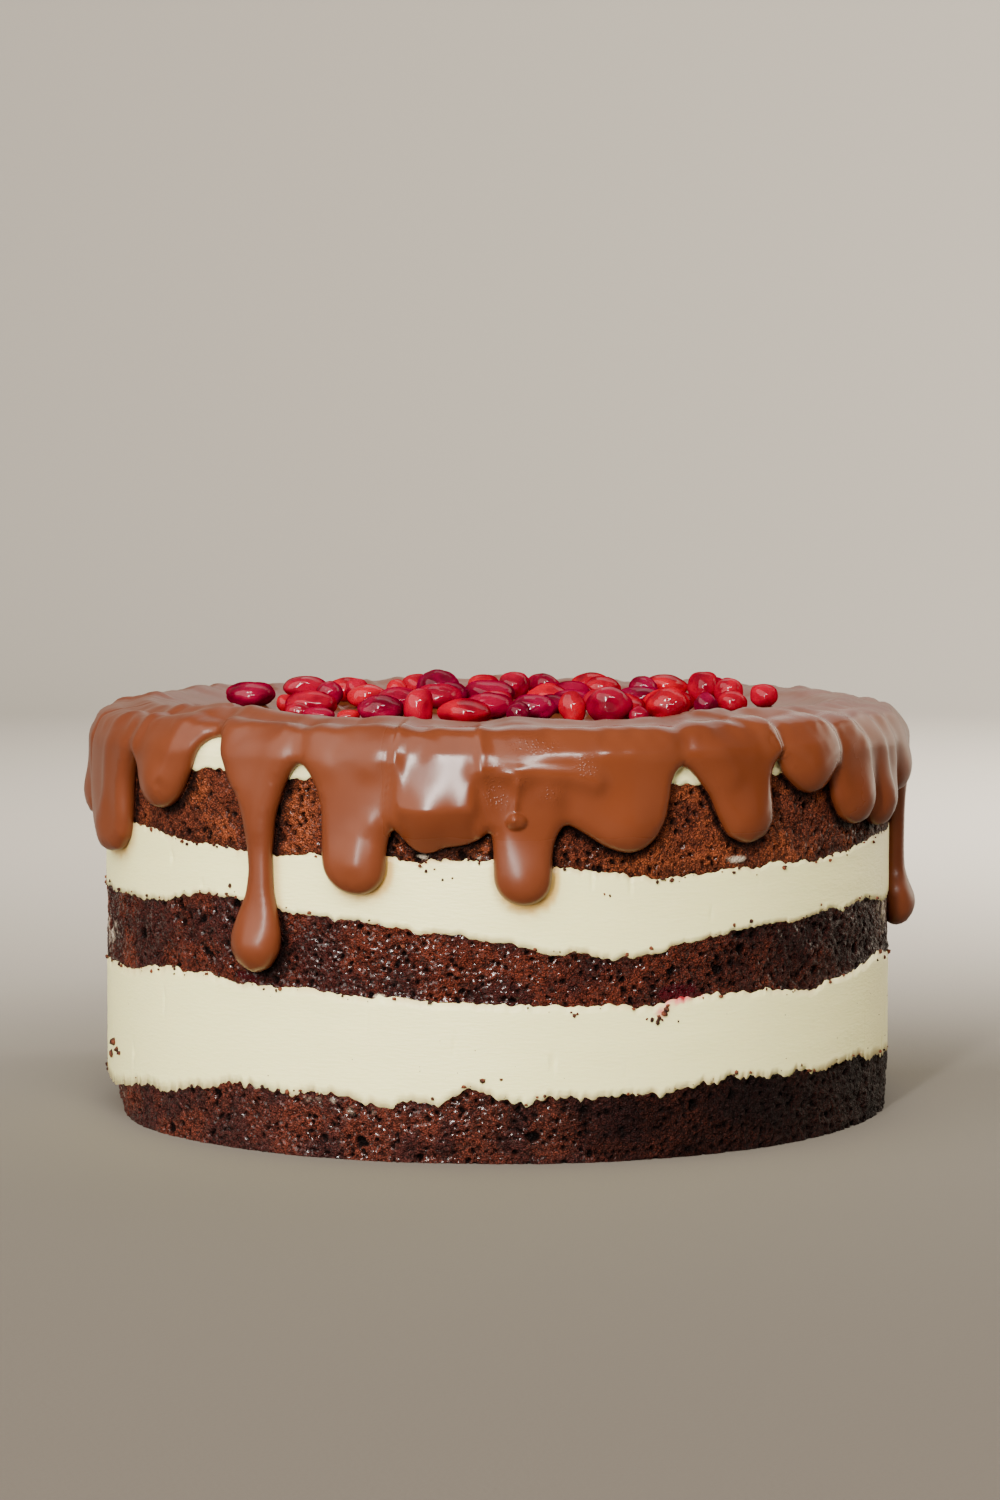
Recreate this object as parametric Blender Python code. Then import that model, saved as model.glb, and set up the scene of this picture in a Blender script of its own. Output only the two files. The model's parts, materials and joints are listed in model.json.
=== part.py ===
"""A chocolate layer cake: three sponges, two creams, a cream cap, a poured glaze with drips, and berries.

Units are metres, +Z is up, and the front of the cake faces -Y. The origin is the middle of the flat foot.
Angles go round the cake from its front, positive towards +X, and are in degrees where a name says so.
"""
import math
import random

import bmesh
import bpy
import numpy as np
from mathutils.geometry import delaunay_2d_cdt

MM = 0.001

# Driving dimensions
CAKE_RADIUS = 100 * MM
GAP = 0.3 * MM                      # air left between neighbouring solids
SECTORS = 96                        # facets round each layer
SPONGE_RECESS = 1.0 * MM            # the crumb stands back from the scraped cream
SPONGE_CRAGS = 0.8 * MM
CREAM_RIPPLE = 0.12 * MM

# Heights of the seams between layers, and the swells that lift or dip each one round the rim:
# (middle of the swell in degrees, half width in degrees, height in mm)
FOOT = (0.0, ())
BASE_SPONGE_TOP = (15.0 * MM, (
    (-74, 18, -7.4), (-51.5, 4.5, -2.8), (-36, 7, 0.8), (-29.5, 3.2, -1.8), (-15, 5, -1.4), (-8, 2, -1.6),
    (-3.2, 2.6, 3.4), (3, 1.8, -2.0), (8, 3.5, 1.4), (33, 12, 1.8), (57, 13, 2.0), (86, 14, -1.5),
    (125, 16, -1.6), (165, 16, 2.4), (-130, 17, 2.0)))
MIDDLE_SPONGE_FOOT = (38.0 * MM, (
    (-50, 11, 2.8), (-41, 5, 0.9), (-26, 9, 1.5), (-5, 9, -0.7), (15, 11, -1.6), (47, 6, -1.7),
    (56, 6, -1.2), (70, 10, 3.0),
    (125, 18, -1.8), (-150, 20, 1.6)))
MIDDLE_SPONGE_TOP = (54.0 * MM, (
    (-76, 12, 2.4), (-64, 6, 0.9), (-42, 15, 5.4), (-23, 8, 1.6), (7, 2.2, -1.2), (10.5, 4, 1.8),
    (15, 15, -7.0), (47, 5, -0.9), (64, 6, 1.0), (112, 16, -2.4), (172, 20, 2.6)))
TOP_SPONGE_FOOT = (70.6 * MM, (
    (-61, 9, 4.0), (-46, 7, 1.3), (-12.5, 3, -1.5), (12, 8, -1.2), (25, 11, -5.2), (46, 10, -1.9),
    (52, 14, -2.0), (118, 14, 2.2), (-165, 18, -2.4)))
TOP_SPONGE_TOP = (88.4 * MM, (
    (-44, 18, 1.0), (26, 10, -1.2), (100, 22, 0.9), (-140, 20, -0.8)))
SEAM_TREMOR = 0.22 * MM             # fine unevenness of every seam but the foot
TREMOR_WAVES = (7, 11, 17, 26, 37)  # waves round the rim

# The cream cap's rounded upper edge, and the glaze that lies on it
CAP_TOP = 97.5 * MM
CAP_EDGE_RADIUS = 4.4 * MM
CAP_EDGE_TURNS = (0, 30, 60, 90)    # degrees at which the edge's arc has a row of facets
GLAZE_INNER_RADIUS = CAKE_RADIUS + 0.6 * MM
GLAZE_INNER_TOP = CAP_TOP + 0.5 * MM
GLAZE_EDGE_RADIUS = 4.8 * MM
GLAZE_THICKNESS = 1.4 * MM          # on the top
CREST_RADIUS = 91 * MM              # where the spatula drew the glaze up into a low ring round the berries
CREST_RISE = 2.4 * MM
CREST_HALF_WIDTH = 3.2 * MM
CURTAIN_THICKNESS = 3.6 * MM        # where it hangs down the side
BEAD_THICKNESS = 1.6 * MM           # added where a drip has gathered at its tip
LONG_BEAD_THICKNESS = 3.0 * MM
BEAD_HALF_WIDTH = 6.0 * MM
ROUND_OVER = 3.2 * MM               # how far in from its edge the glaze reaches full thickness
LIP_WIDTH = 1.3 * MM                # of the first row of facets inside the edge
TOP_RINGS = ((0, 1), (40, 12), (70, 24), (86, 48), (91, 60))  # radius in mm and points of each ring on the flat top
BEND_ROWS = 3                       # rows of facets over the rounded edge
CURTAIN_ROWS = 8                    # rows of facets down the side
CURTAIN_ROW = 6 * MM

# Drips at the front, left to right, in degrees and mm:
# (tip angle, tip height, left side, right side, pinch of each side above the bead)
FRONT_DRIPS = (
    (-86.0, 73.0, -92.0, -81.6, 0.0), (-69.0, 66.5, -77.6, -62.0, 0.0), (-52.1, 79.5, -56.8, -46.8, 0.0),
    (-33.0, 42.8, -36.9, -29.1, 1.9), (-18.4, 62.2, -23.4, -14.6, 0.0), (-8.9, 72.0, -12.4, -1.2, 0.0),
    (3.5, 60.4, -0.3, 7.0, 0.0), (17.2, 71.8, 10.8, 23.3, 0.0), (34.8, 72.6, 29.0, 39.3, 0.0),
    (46.3, 83.5, 42.6, 50.2, 0.0), (57.6, 74.8, 52.8, 61.2, 0.0), (66.5, 73.2, 62.6, 70.4, 0.0),
    (75.8, 80.3, 72.2, 79.4, 0.0), (87.0, 44.4, 83.0, 91.4, 1.9))
# Arches of the glaze's edge between them: (angle, height)
FRONT_ARCHES = (
    (-80.8, 77.0), (-59.0, 92.0), (-42.0, 97.2), (-26.8, 92.0), (-13.5, 77.6), (-0.7, 77.9), (9.0, 78.7),
    (25.0, 91.7), (40.3, 92.7), (51.5, 88.6), (61.9, 82.5), (71.3, 85.0), (80.8, 82.5))
BACK_DRIPS = 13                     # hung by rule round the side that faces away, every fourth a long one
BACK_SEED = 11
BACK_MARGIN = 1.4                   # degrees
BACK_ARCH_HEIGHTS = (80, 92)
LONG_HALVES = (3.9, 4.6)            # half widths in degrees, and heights of the tips
LONG_TIPS = (44, 56)
LONG_PINCH = 1.8
SHORT_HALVES = (4.0, 6.0)
SHORT_TIPS = (64, 83)
ARCH_SHARE = 0.42                   # of the way from an arch to a tip, rounded as the arch
ARCH_POINT = 1.45                   # how far an arch departs from an ellipse towards a point
ARC_STEPS = 4                       # chords in each rounded quarter
RUNG = 6.0                          # mm between points down a straight run
BEAD_START = 0.55                   # share of a run above which it keeps its pinched width

# Berries that show from the front: (x, y, width, height) in mm, and whether it is a cluster of drupelets
FRONT_BERRIES = (
    (-48.0, -56, 6.8, 4.8, True), (-42.5, -63, 7.9, 4.2, False), (-35.4, -66, 5.6, 3.5, False),
    (-27.2, -70, 11.2, 7.6, True), (-18.6, -74, 7.8, 9.4, False), (-7.4, -78, 14.6, 7.2, False),
    (5.0, -73, 6.4, 6.0, False), (17.8, -67, 6.8, 8.4, False), (26.4, -71, 12.2, 10.1, False),
    (33.2, -75, 5.2, 5.0, False), (40.8, -68, 11.2, 9.4, True), (50.8, -42, 6.8, 6.7, False),
    (57.6, -36, 9.2, 6.9, False), (68.0, -4, 8.6, 6.8, False), (-63.8, 2, 13.4, 7.2, True),
    (-52.2, -26, 5.8, 5.2, False), (-43.4, 2, 7.6, 7.3, True), (-36.4, 6, 7.0, 8.0, False),
    (-26.4, 25, 6.6, 6.7, False), (-15.6, 16, 11.6, 9.8, True), (-4.0, 46, 10.6, 7.0, False),
    (4.0, 32, 9.4, 8.6, True), (12.9, 42, 8.0, 7.2, False), (21.4, 20, 9.2, 5.9, False),
    (38.2, 30, 8.0, 7.2, True), (53.4, 14, 9.4, 9.5, False), (59.6, 4, 7.8, 8.1, True))
BACK_BERRIES = 25                   # scattered by rule over the rest of the top
BERRY_FIELD_RADIUS = 64 * MM
BERRY_GAP = 0.7 * MM
BERRY_SEED = 4
BACK_BERRY_WIDTHS = (9 * MM, 14 * MM)
BERRY_SLUMP = (0.60, 0.72)          # height over width once thawed
TALLEST_BACK_BERRY = 7.2 * MM
CLUSTER_SHARE = 0.4                 # of the scattered berries
BERRY_LENGTHS = (0.84, 0.94)        # of a smooth berry's width
UNDERSIDE = 0.86                    # a berry is this much flatter below its middle
DRUPELET_DEPTH = 0.07               # of a cluster's radius
CLUSTER_TAPER = 0.055               # how much a cluster narrows towards its ends

COLOURS = {                          # base colour, roughness
    "sponge": ((0.095, 0.032, 0.020, 1), 0.90),
    "cream": ((0.86, 0.82, 0.66, 1), 0.45),
    "glaze": ((0.30, 0.105, 0.045, 1), 0.28),
    "berry": ((0.55, 0.012, 0.022, 1), 0.22),
}


def clear_scene():
    for thing in list(bpy.data.objects):
        bpy.data.objects.remove(thing, do_unlink=True)


def finish_of(name):
    """The Principled material of that name, made once."""
    material = bpy.data.materials.get(name)
    if material is None:
        material = bpy.data.materials.new(name)
        material.use_nodes = True
        shader = material.node_tree.nodes["Principled BSDF"]
        colour, roughness = COLOURS[name]
        shader.inputs["Base Color"].default_value = colour
        shader.inputs["Roughness"].default_value = roughness
        shader.inputs["Metallic"].default_value = 0.0
    return material


def add_object(name, bm, finish, location=(0, 0, 0), rotation=(0, 0, 0)):
    """Turns a bmesh into a named, smooth-shaded object in the cake's collection."""
    bmesh.ops.recalc_face_normals(bm, faces=bm.faces)
    mesh = bpy.data.meshes.new(name)
    bm.to_mesh(mesh)
    bm.free()
    mesh.shade_smooth()
    mesh.set_sharp_from_angle(angle=math.radians(50))
    mesh.materials.append(finish_of(finish))
    thing = bpy.data.objects.new(name, mesh)
    thing.location = location
    thing.rotation_euler = rotation
    bpy.data.collections["chocolate_cake"].objects.link(thing)
    return thing


# Layers

def angle_between(a, b):
    """Signed difference of two angles in degrees, from -180 to 180."""
    return (a - b + 180) % 360 - 180


def seam_height(seam, degrees):
    """Height of a seam at the rim: its level, its swells as bell curves, and a fine tremor."""
    level, swells = seam
    height = level
    for middle, half_width, rise in swells:
        height += rise * MM * math.exp(-(angle_between(degrees, middle) / half_width) ** 2)
    if level > 0:
        for waves in TREMOR_WAVES:
            height += SEAM_TREMOR * math.sin(math.radians(degrees) * waves + waves * level / MM)
    return height


def degrees_round(x, y):
    """Angle of a point round the cake, from the front (-Y) towards +X."""
    return math.degrees(math.atan2(x, -y))


def crag(degrees, height, seed):
    """A value from -1 to 1 that varies irregularly over a sponge's side."""
    return (math.sin(math.radians(degrees) * 23 + height / MM * 0.9 + seed)
            + math.sin(math.radians(degrees) * 41 - height / MM * 1.7 + 2 * seed)) / 2


def add_layer(name, foot, roof, finish, rows, seed=0.0):
    """A disc whose foot and roof follow two seams, with the crumb's crags on a sponge's side."""
    bm = bmesh.new()
    bmesh.ops.create_cone(bm, cap_ends=True, cap_tris=True, segments=SECTORS, radius1=1, radius2=1, depth=1)
    for row in range(1, rows):
        geometry = bm.verts[:] + bm.edges[:] + bm.faces[:]
        bmesh.ops.bisect_plane(bm, geom=geometry, plane_co=(0, 0, row / rows - 0.5), plane_no=(0, 0, 1))
    low_gap = GAP / 2 if foot[0] > 0 else 0.0
    for vertex in bm.verts:
        share = vertex.co.z + 0.5
        rim = math.hypot(vertex.co.x, vertex.co.y)
        degrees = degrees_round(vertex.co.x, vertex.co.y)
        if rim < 0.5:
            low, high = foot[0], roof[0]
        else:
            low, high = seam_height(foot, degrees), seam_height(roof, degrees)
        height = (low + low_gap) * (1 - share) + (high - GAP / 2) * share
        if finish == "sponge":
            radius = CAKE_RADIUS - SPONGE_RECESS + SPONGE_CRAGS * crag(degrees, height, seed)
        else:
            radius = CAKE_RADIUS - CREAM_RIPPLE + CREAM_RIPPLE * crag(degrees * 0.3, height, seed)
        vertex.co = (vertex.co.x * radius, vertex.co.y * radius, height)
    return add_object(name, bm, finish)


def add_cream_cap():
    """The cream over the top sponge: its foot follows the seam, and its upper edge is rounded."""
    bm = bmesh.new()
    bmesh.ops.create_cone(bm, cap_ends=True, cap_tris=True, segments=SECTORS, radius1=1, radius2=1, depth=1)
    rows = len(CAP_EDGE_TURNS)
    for row in range(1, rows):
        geometry = bm.verts[:] + bm.edges[:] + bm.faces[:]
        bmesh.ops.bisect_plane(bm, geom=geometry, plane_co=(0, 0, row / rows - 0.5), plane_no=(0, 0, 1))
    for vertex in bm.verts:
        row = round((vertex.co.z + 0.5) * rows)
        if row > 0:
            turn = math.radians(CAP_EDGE_TURNS[row - 1])
            radius = CAKE_RADIUS - CREAM_RIPPLE - CAP_EDGE_RADIUS * (1 - math.cos(turn))
            height = CAP_TOP - CAP_EDGE_RADIUS * (1 - math.sin(turn))
        elif math.hypot(vertex.co.x, vertex.co.y) > 0.5:
            radius = CAKE_RADIUS - CREAM_RIPPLE
            height = seam_height(TOP_SPONGE_TOP, degrees_round(vertex.co.x, vertex.co.y)) + GAP / 2
        else:
            radius, height = 0.0, TOP_SPONGE_TOP[0] + GAP / 2
        vertex.co = (vertex.co.x * radius, vertex.co.y * radius, height)
    return add_object("cream_cap", bm, "cream")


# Glaze

def glaze_edges():
    """Every drip and every arch right round the cake: the front's own, then the back's, hung by rule."""
    draw = random.Random(BACK_SEED)
    drips, arches = list(FRONT_DRIPS), list(FRONT_ARCHES)
    start = FRONT_DRIPS[-1][3] + BACK_MARGIN
    end = FRONT_DRIPS[0][2] - BACK_MARGIN + 360
    pitch = (end - start) / BACK_DRIPS
    arches.append((start, draw.uniform(*BACK_ARCH_HEIGHTS)))
    for number in range(1, BACK_DRIPS + 1):
        left = arches[-1][0]
        right = start + pitch * number
        if number < BACK_DRIPS:
            right += draw.uniform(-BACK_MARGIN, BACK_MARGIN)
        is_long = number % 4 == 3
        half = min(draw.uniform(*(LONG_HALVES if is_long else SHORT_HALVES)), (right - left) / 2 - 1)
        middle = (left + right) / 2
        tip = draw.uniform(*(LONG_TIPS if is_long else SHORT_TIPS))
        drips.append((middle, tip, middle - half, middle + half, LONG_PINCH if is_long else 0.0))
        arches.append((right, draw.uniform(*BACK_ARCH_HEIGHTS)))
    return drips, arches


def side_of_drip(arch, side, drip):
    """One side of a drip from the arch to the tip, as (degrees, height in mm): the arch's half, a run that
    pinches in and widens again, and a quarter ellipse under the bead."""
    tip_angle, tip_height, pinch = drip[0], drip[1], drip[4]
    arch_angle, arch_height = arch
    drop = arch_height - tip_height
    upper = ARCH_SHARE * drop
    half_width = abs(side - tip_angle) * math.radians(1) * GLAZE_INNER_RADIUS / MM
    lower = min(half_width * (1.25 if pinch else 0.95), drop - upper)
    run = drop - upper - lower
    if run < 1.0:
        lower, run = drop - upper, 0.0
    neck = side + math.copysign(pinch, tip_angle - side)
    turns = [math.pi / 2 * k / ARC_STEPS for k in range(ARC_STEPS + 1)]
    points = []
    for turn in turns:
        across = (neck - arch_angle) * math.sin(turn) ** ARCH_POINT
        points.append((arch_angle + across, arch_height - upper * (1 - math.cos(turn))))
    rungs = math.ceil(run / RUNG)
    for rung in range(1, rungs + 1):
        share = rung / rungs
        widen = max(0.0, (share - BEAD_START) / (1 - BEAD_START))
        across = (side - neck) * widen ** 2 * (3 - 2 * widen)
        points.append((neck + across, arch_height - upper - run * share))
    for turn in turns[1:]:
        across = (side - tip_angle) * math.cos(turn)
        points.append((tip_angle + across, tip_height + lower * (1 - math.sin(turn))))
    return points


def glaze_outline():
    """The glaze's lower edge once round the cake, as (degrees, height in mm)."""
    drips, arches = glaze_edges()
    points = []
    for i, drip in enumerate(drips):
        arch_before = arches[i - 1] if i > 0 else (arches[-1][0] - 360, arches[-1][1])
        left = side_of_drip(arch_before, drip[2], drip)
        right = side_of_drip(arches[i], drip[3], drip)
        points += left + right[::-1][1:-1]
    return np.array(points)


def run_down(height):
    """How far along the glaze's inner face a height lies: out over the top, round the edge, and down."""
    flat = GLAZE_INNER_RADIUS - GLAZE_EDGE_RADIUS
    below = GLAZE_INNER_TOP - GLAZE_EDGE_RADIUS - height
    turn = np.arccos(np.clip(-below / GLAZE_EDGE_RADIUS, 0, 1))
    return flat + np.where(below > 0, GLAZE_EDGE_RADIUS * math.pi / 2 + below, GLAZE_EDGE_RADIUS * turn)


def glaze_frame(run):
    """Radius, height and outward direction (radial, up) of the inner face at a run from the middle."""
    flat = GLAZE_INNER_RADIUS - GLAZE_EDGE_RADIUS
    turn = np.clip((run - flat) / GLAZE_EDGE_RADIUS, 0, math.pi / 2)
    below = np.maximum(run - flat - GLAZE_EDGE_RADIUS * math.pi / 2, 0)
    radius = np.minimum(run, flat) + GLAZE_EDGE_RADIUS * np.sin(turn)
    height = GLAZE_INNER_TOP - GLAZE_EDGE_RADIUS * (1 - np.cos(turn)) - below
    return radius, height, np.sin(turn), np.cos(turn)


def is_inside(points, loop):
    """Even-odd test of points against a closed loop, whose last point repeats its first."""
    inside = np.zeros(len(points), bool)
    for a, b in zip(loop[:-1], loop[1:]):
        spans = (a[1] > points[:, 1]) != (b[1] > points[:, 1])
        at = a[0] + (points[:, 1] - a[1]) * (b[0] - a[0]) / (b[1] - a[1] if b[1] != a[1] else 1)
        inside ^= spans & (points[:, 0] < at)
    return inside


def distance_to(points, line):
    """Shortest distance from each point to a line of chords."""
    best = np.full(len(points), np.inf)
    for a, b in zip(line[:-1], line[1:]):
        along = b - a
        share = np.clip(((points - a) @ along) / (along @ along), 0, 1)
        best = np.minimum(best, np.linalg.norm(points - a - share[:, None] * along, axis=1))
    return best


def flattened(degrees, run):
    """The glaze's sheet laid out flat: a disc whose radius is the run from the middle."""
    turn = np.radians(degrees)
    return np.stack([run * np.sin(turn), -run * np.cos(turn)], -1)


def fill_sheet(outline):
    """Points and triangles that fill the flattened outline. No edge crosses from lip to lip, so that the sheet
    has thickness everywhere within its edge."""
    loop = np.concatenate([outline, outline[:1]])
    along = np.roll(outline, -1, axis=0) - np.roll(outline, 1, axis=0)
    inward = np.stack([-along[:, 1], along[:, 0]], 1) / np.linalg.norm(along, axis=1)[:, None]
    inner = (outline + inward * LIP_WIDTH)[::2]
    inner = inner[is_inside(inner, loop) & (distance_to(inner, loop) > 0.8 * LIP_WIDTH)]
    wall = GLAZE_INNER_RADIUS - GLAZE_EDGE_RADIUS
    bend = GLAZE_EDGE_RADIUS * math.pi / 2
    rings = [(radius * MM, count) for radius, count in TOP_RINGS]
    rings += [(wall + bend * k / BEND_ROWS, SECTORS) for k in range(BEND_ROWS + 1)]
    rings += [(wall + bend + CURTAIN_ROW * k, SECTORS) for k in range(1, CURTAIN_ROWS + 1)]
    field = np.concatenate([flattened(np.arange(count) * 360 / count, run) for run, count in rings])
    field = field[is_inside(field, loop)]
    field = field[distance_to(field, loop) > 1.6 * LIP_WIDTH]
    points = np.concatenate([outline, inner, field])
    lip = len(outline)
    while True:
        faces = delaunay_2d_cdt([tuple(p / MM) for p in points], [], [list(range(lip))], 1, 1e-5)[2]
        edges = {tuple(sorted(pair)) for f in faces for pair in ((f[0], f[1]), (f[1], f[2]), (f[2], f[0]))}
        chords = [e for e in edges if e[1] < lip and e[1] - e[0] not in (1, lip - 1)]
        if not chords:
            return points, faces
        points = np.concatenate([points, [(points[i] + points[j]) / 2 for i, j in sorted(chords)]])


def glaze_thickness(degrees, run, height, out, edge):
    """Thickness over the inner face: it rounds over at the edge, gathers in a bead at each drip's tip, and stands
    in a crest round the berries."""
    lap = 360 * math.radians(1) * GLAZE_INNER_RADIUS
    sheet = np.stack([np.radians(degrees) * GLAZE_INNER_RADIUS, run], 1)
    rim = np.stack([np.radians(edge[:, 0]) * GLAZE_INNER_RADIUS, run_down(edge[:, 1] * MM)], 1)
    rim = np.concatenate([rim, rim[:1] + (lap, 0)])
    reach = np.min([distance_to(sheet + (lap * k, 0), rim) for k in (-1, 0, 1)], axis=0)
    full = GLAZE_THICKNESS + (CURTAIN_THICKNESS - GLAZE_THICKNESS) * out
    for tip_angle, tip_height, _, _, pinch in glaze_edges()[0]:
        aside = np.radians(angle_between(degrees, tip_angle)) * GLAZE_INNER_RADIUS
        above = height - tip_height * MM - BEAD_HALF_WIDTH
        bead = LONG_BEAD_THICKNESS if pinch else BEAD_THICKNESS
        full = full + bead * np.exp(-(aside ** 2 + above ** 2) / BEAD_HALF_WIDTH ** 2)
    full = full + CREST_RISE * np.exp(-((run - CREST_RADIUS) / CREST_HALF_WIDTH) ** 2)
    depth = np.clip(reach / ROUND_OVER, 0, 1)
    return full * np.sqrt(1 - (1 - depth) ** 2)


def add_glaze():
    """One poured sheet, filled with triangles while flat, then wrapped over the cake as an inner and an outer
    face that meet along the lip."""
    edge = glaze_outline()
    lip = len(edge)
    points, faces = fill_sheet(flattened(edge[:, 0], run_down(edge[:, 1] * MM)))
    run = np.linalg.norm(points, axis=1)
    degrees = np.degrees(np.arctan2(points[:, 0], -points[:, 1]))
    radius, height, out, up = glaze_frame(run)
    thickness = glaze_thickness(degrees, run, height, out, edge)
    thickness[:lip] = 0
    turn = np.radians(degrees)
    bm = bmesh.new()
    inner_face, outer_face = [], []
    for i in range(len(points)):
        for face_points, rise in ((inner_face, 0.0), (outer_face, thickness[i])):
            if i < lip and face_points is outer_face:
                outer_face.append(inner_face[i])
                continue
            away, tall = radius[i] + out[i] * rise, height[i] + up[i] * rise
            face_points.append(bm.verts.new((away * math.sin(turn[i]), -away * math.cos(turn[i]), tall)))
    for face in faces:
        bm.faces.new([outer_face[k] for k in face])
        bm.faces.new([inner_face[k] for k in reversed(face)])
    return add_object("ganache_glaze", bm, "glaze")


# Berries

def berry_places():
    """(x, y, width, height, is a cluster) of every berry, in metres: the front's, then a seeded scatter."""
    places = [(x * MM, y * MM, w * MM, h * MM, cluster) for x, y, w, h, cluster in FRONT_BERRIES]
    draw = random.Random(BERRY_SEED)
    while len(places) < len(FRONT_BERRIES) + BACK_BERRIES:
        reach = BERRY_FIELD_RADIUS * math.sqrt(draw.random())
        turn = draw.uniform(0, 2 * math.pi)
        x, y = reach * math.cos(turn), reach * math.sin(turn)
        width = draw.uniform(*BACK_BERRY_WIDTHS)
        height = min(width * draw.uniform(*BERRY_SLUMP), TALLEST_BACK_BERRY)
        cluster = draw.random() < CLUSTER_SHARE
        if all(math.hypot(x - p[0], y - p[1]) > (width + p[2]) / 2 + BERRY_GAP for p in places):
            places.append((x, y, width, height, cluster))
    return places


def add_berry(name, x, y, width, height, cluster, seed):
    """A slumped berry that sits on the glaze: a smooth oval, or a blunt cluster of drupelets."""
    draw = random.Random(seed)
    bm = bmesh.new()
    bmesh.ops.create_icosphere(bm, subdivisions=2, radius=0.5)
    length = width if cluster else width * draw.uniform(*BERRY_LENGTHS)
    for index, vertex in enumerate(bm.verts):
        co = vertex.co
        swell = 1.0
        if cluster:
            swell += DRUPELET_DEPTH * (1 if index % 2 else -1) - CLUSTER_TAPER * (2 * co.x) ** 2
        flatten = 1.0 if co.z > 0 else UNDERSIDE
        vertex.co = (co.x * swell * width, co.y * swell * length, co.z * swell * flatten * height)
    lowest = min(v.co.z for v in bm.verts)
    rest = GLAZE_INNER_TOP + GLAZE_THICKNESS + GAP - lowest
    return add_object(name, bm, "berry", (x, y, rest), (0, 0, draw.uniform(0, 2 * math.pi)))


def main():
    clear_scene()
    cake = bpy.data.collections.new("chocolate_cake")
    bpy.context.scene.collection.children.link(cake)
    add_layer("sponge_base", FOOT, BASE_SPONGE_TOP, "sponge", 3, 0.7)
    add_layer("cream_lower", BASE_SPONGE_TOP, MIDDLE_SPONGE_FOOT, "cream", 2)
    add_layer("sponge_middle", MIDDLE_SPONGE_FOOT, MIDDLE_SPONGE_TOP, "sponge", 3, 2.1)
    add_layer("cream_upper", MIDDLE_SPONGE_TOP, TOP_SPONGE_FOOT, "cream", 2)
    add_layer("sponge_top", TOP_SPONGE_FOOT, TOP_SPONGE_TOP, "sponge", 3, 4.4)
    add_cream_cap()
    add_glaze()
    for number, place in enumerate(berry_places(), 1):
        add_berry(f"berry_{number:02d}", *place, seed=number)


main()
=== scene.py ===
"""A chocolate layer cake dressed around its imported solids: crumb, scraped cream, poured glaze and berries.

Everything is in metres, +Z is up and the front of the cake faces -Y. Angles go round the cake from its front,
positive towards +X. Sizes written in mm are multiplied by MM.
"""
import json
import math
import random

import bpy
import numpy as np
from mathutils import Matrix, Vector
from mathutils.geometry import delaunay_2d_cdt

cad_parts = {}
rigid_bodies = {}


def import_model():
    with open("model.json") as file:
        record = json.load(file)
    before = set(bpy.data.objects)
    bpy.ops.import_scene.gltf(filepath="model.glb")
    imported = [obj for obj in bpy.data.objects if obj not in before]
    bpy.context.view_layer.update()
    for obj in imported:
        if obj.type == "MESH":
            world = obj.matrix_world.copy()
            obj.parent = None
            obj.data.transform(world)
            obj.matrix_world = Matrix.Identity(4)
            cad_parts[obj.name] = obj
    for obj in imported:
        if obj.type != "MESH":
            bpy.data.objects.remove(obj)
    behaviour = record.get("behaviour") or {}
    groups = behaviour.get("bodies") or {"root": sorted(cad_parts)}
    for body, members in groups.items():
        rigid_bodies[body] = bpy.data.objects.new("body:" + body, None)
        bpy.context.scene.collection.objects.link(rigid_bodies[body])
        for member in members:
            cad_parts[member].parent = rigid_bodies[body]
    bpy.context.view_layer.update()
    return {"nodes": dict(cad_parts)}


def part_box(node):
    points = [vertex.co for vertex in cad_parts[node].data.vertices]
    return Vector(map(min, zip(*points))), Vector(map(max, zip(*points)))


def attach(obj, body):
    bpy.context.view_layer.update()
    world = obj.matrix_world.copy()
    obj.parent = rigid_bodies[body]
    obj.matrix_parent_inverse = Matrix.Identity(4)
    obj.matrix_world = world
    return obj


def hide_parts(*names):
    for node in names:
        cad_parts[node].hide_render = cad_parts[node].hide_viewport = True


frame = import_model()
MM = 0.001


# The camera stands a little above the berries and looks slightly down at the front of the cake.
LENS = 85                               # and the sensor's width, both in mm
SENSOR_WIDTH = 36
CAMERA_PLACE = (0.0006, -0.906, 0.1511)
CAMERA_TILT = 3.93                      # degrees below level
camera = bpy.data.objects.new("camera", bpy.data.cameras.new("camera"))
camera.data.lens = LENS
camera.data.sensor_width = SENSOR_WIDTH
camera.location = CAMERA_PLACE
camera.rotation_euler = (math.radians(90 - CAMERA_TILT), 0, 0)
bpy.context.scene.collection.objects.link(camera)
bpy.context.scene.camera = camera


# The floor is a pale, warm grey sweep: a wide disc that curves up into a round wall, all in one skin. Its
# colour is painted shade and light: darker in front of the cake and paler from there to the back.
FLOOR_RADIUS = 1.7
FLAT_RINGS = (0.4, 1.0)                 # radii at which the flat disc has its vertices
WALL_HEIGHT = 1.5
SWEEP_RADIUS = 0.9
FLOOR_COLUMNS = 96
SWEEP_ROWS = 24
FLOOR_NEAR_PAINTED_SHADE = (0.104, 0.088, 0.071, 1)
FLOOR_FAR_PAINTED_LIGHT = (0.225, 0.203, 0.170, 1)
FLOOR_CHANGE = (-0.45, 0.30)            # the Y between which the near colour turns into the far one


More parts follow.
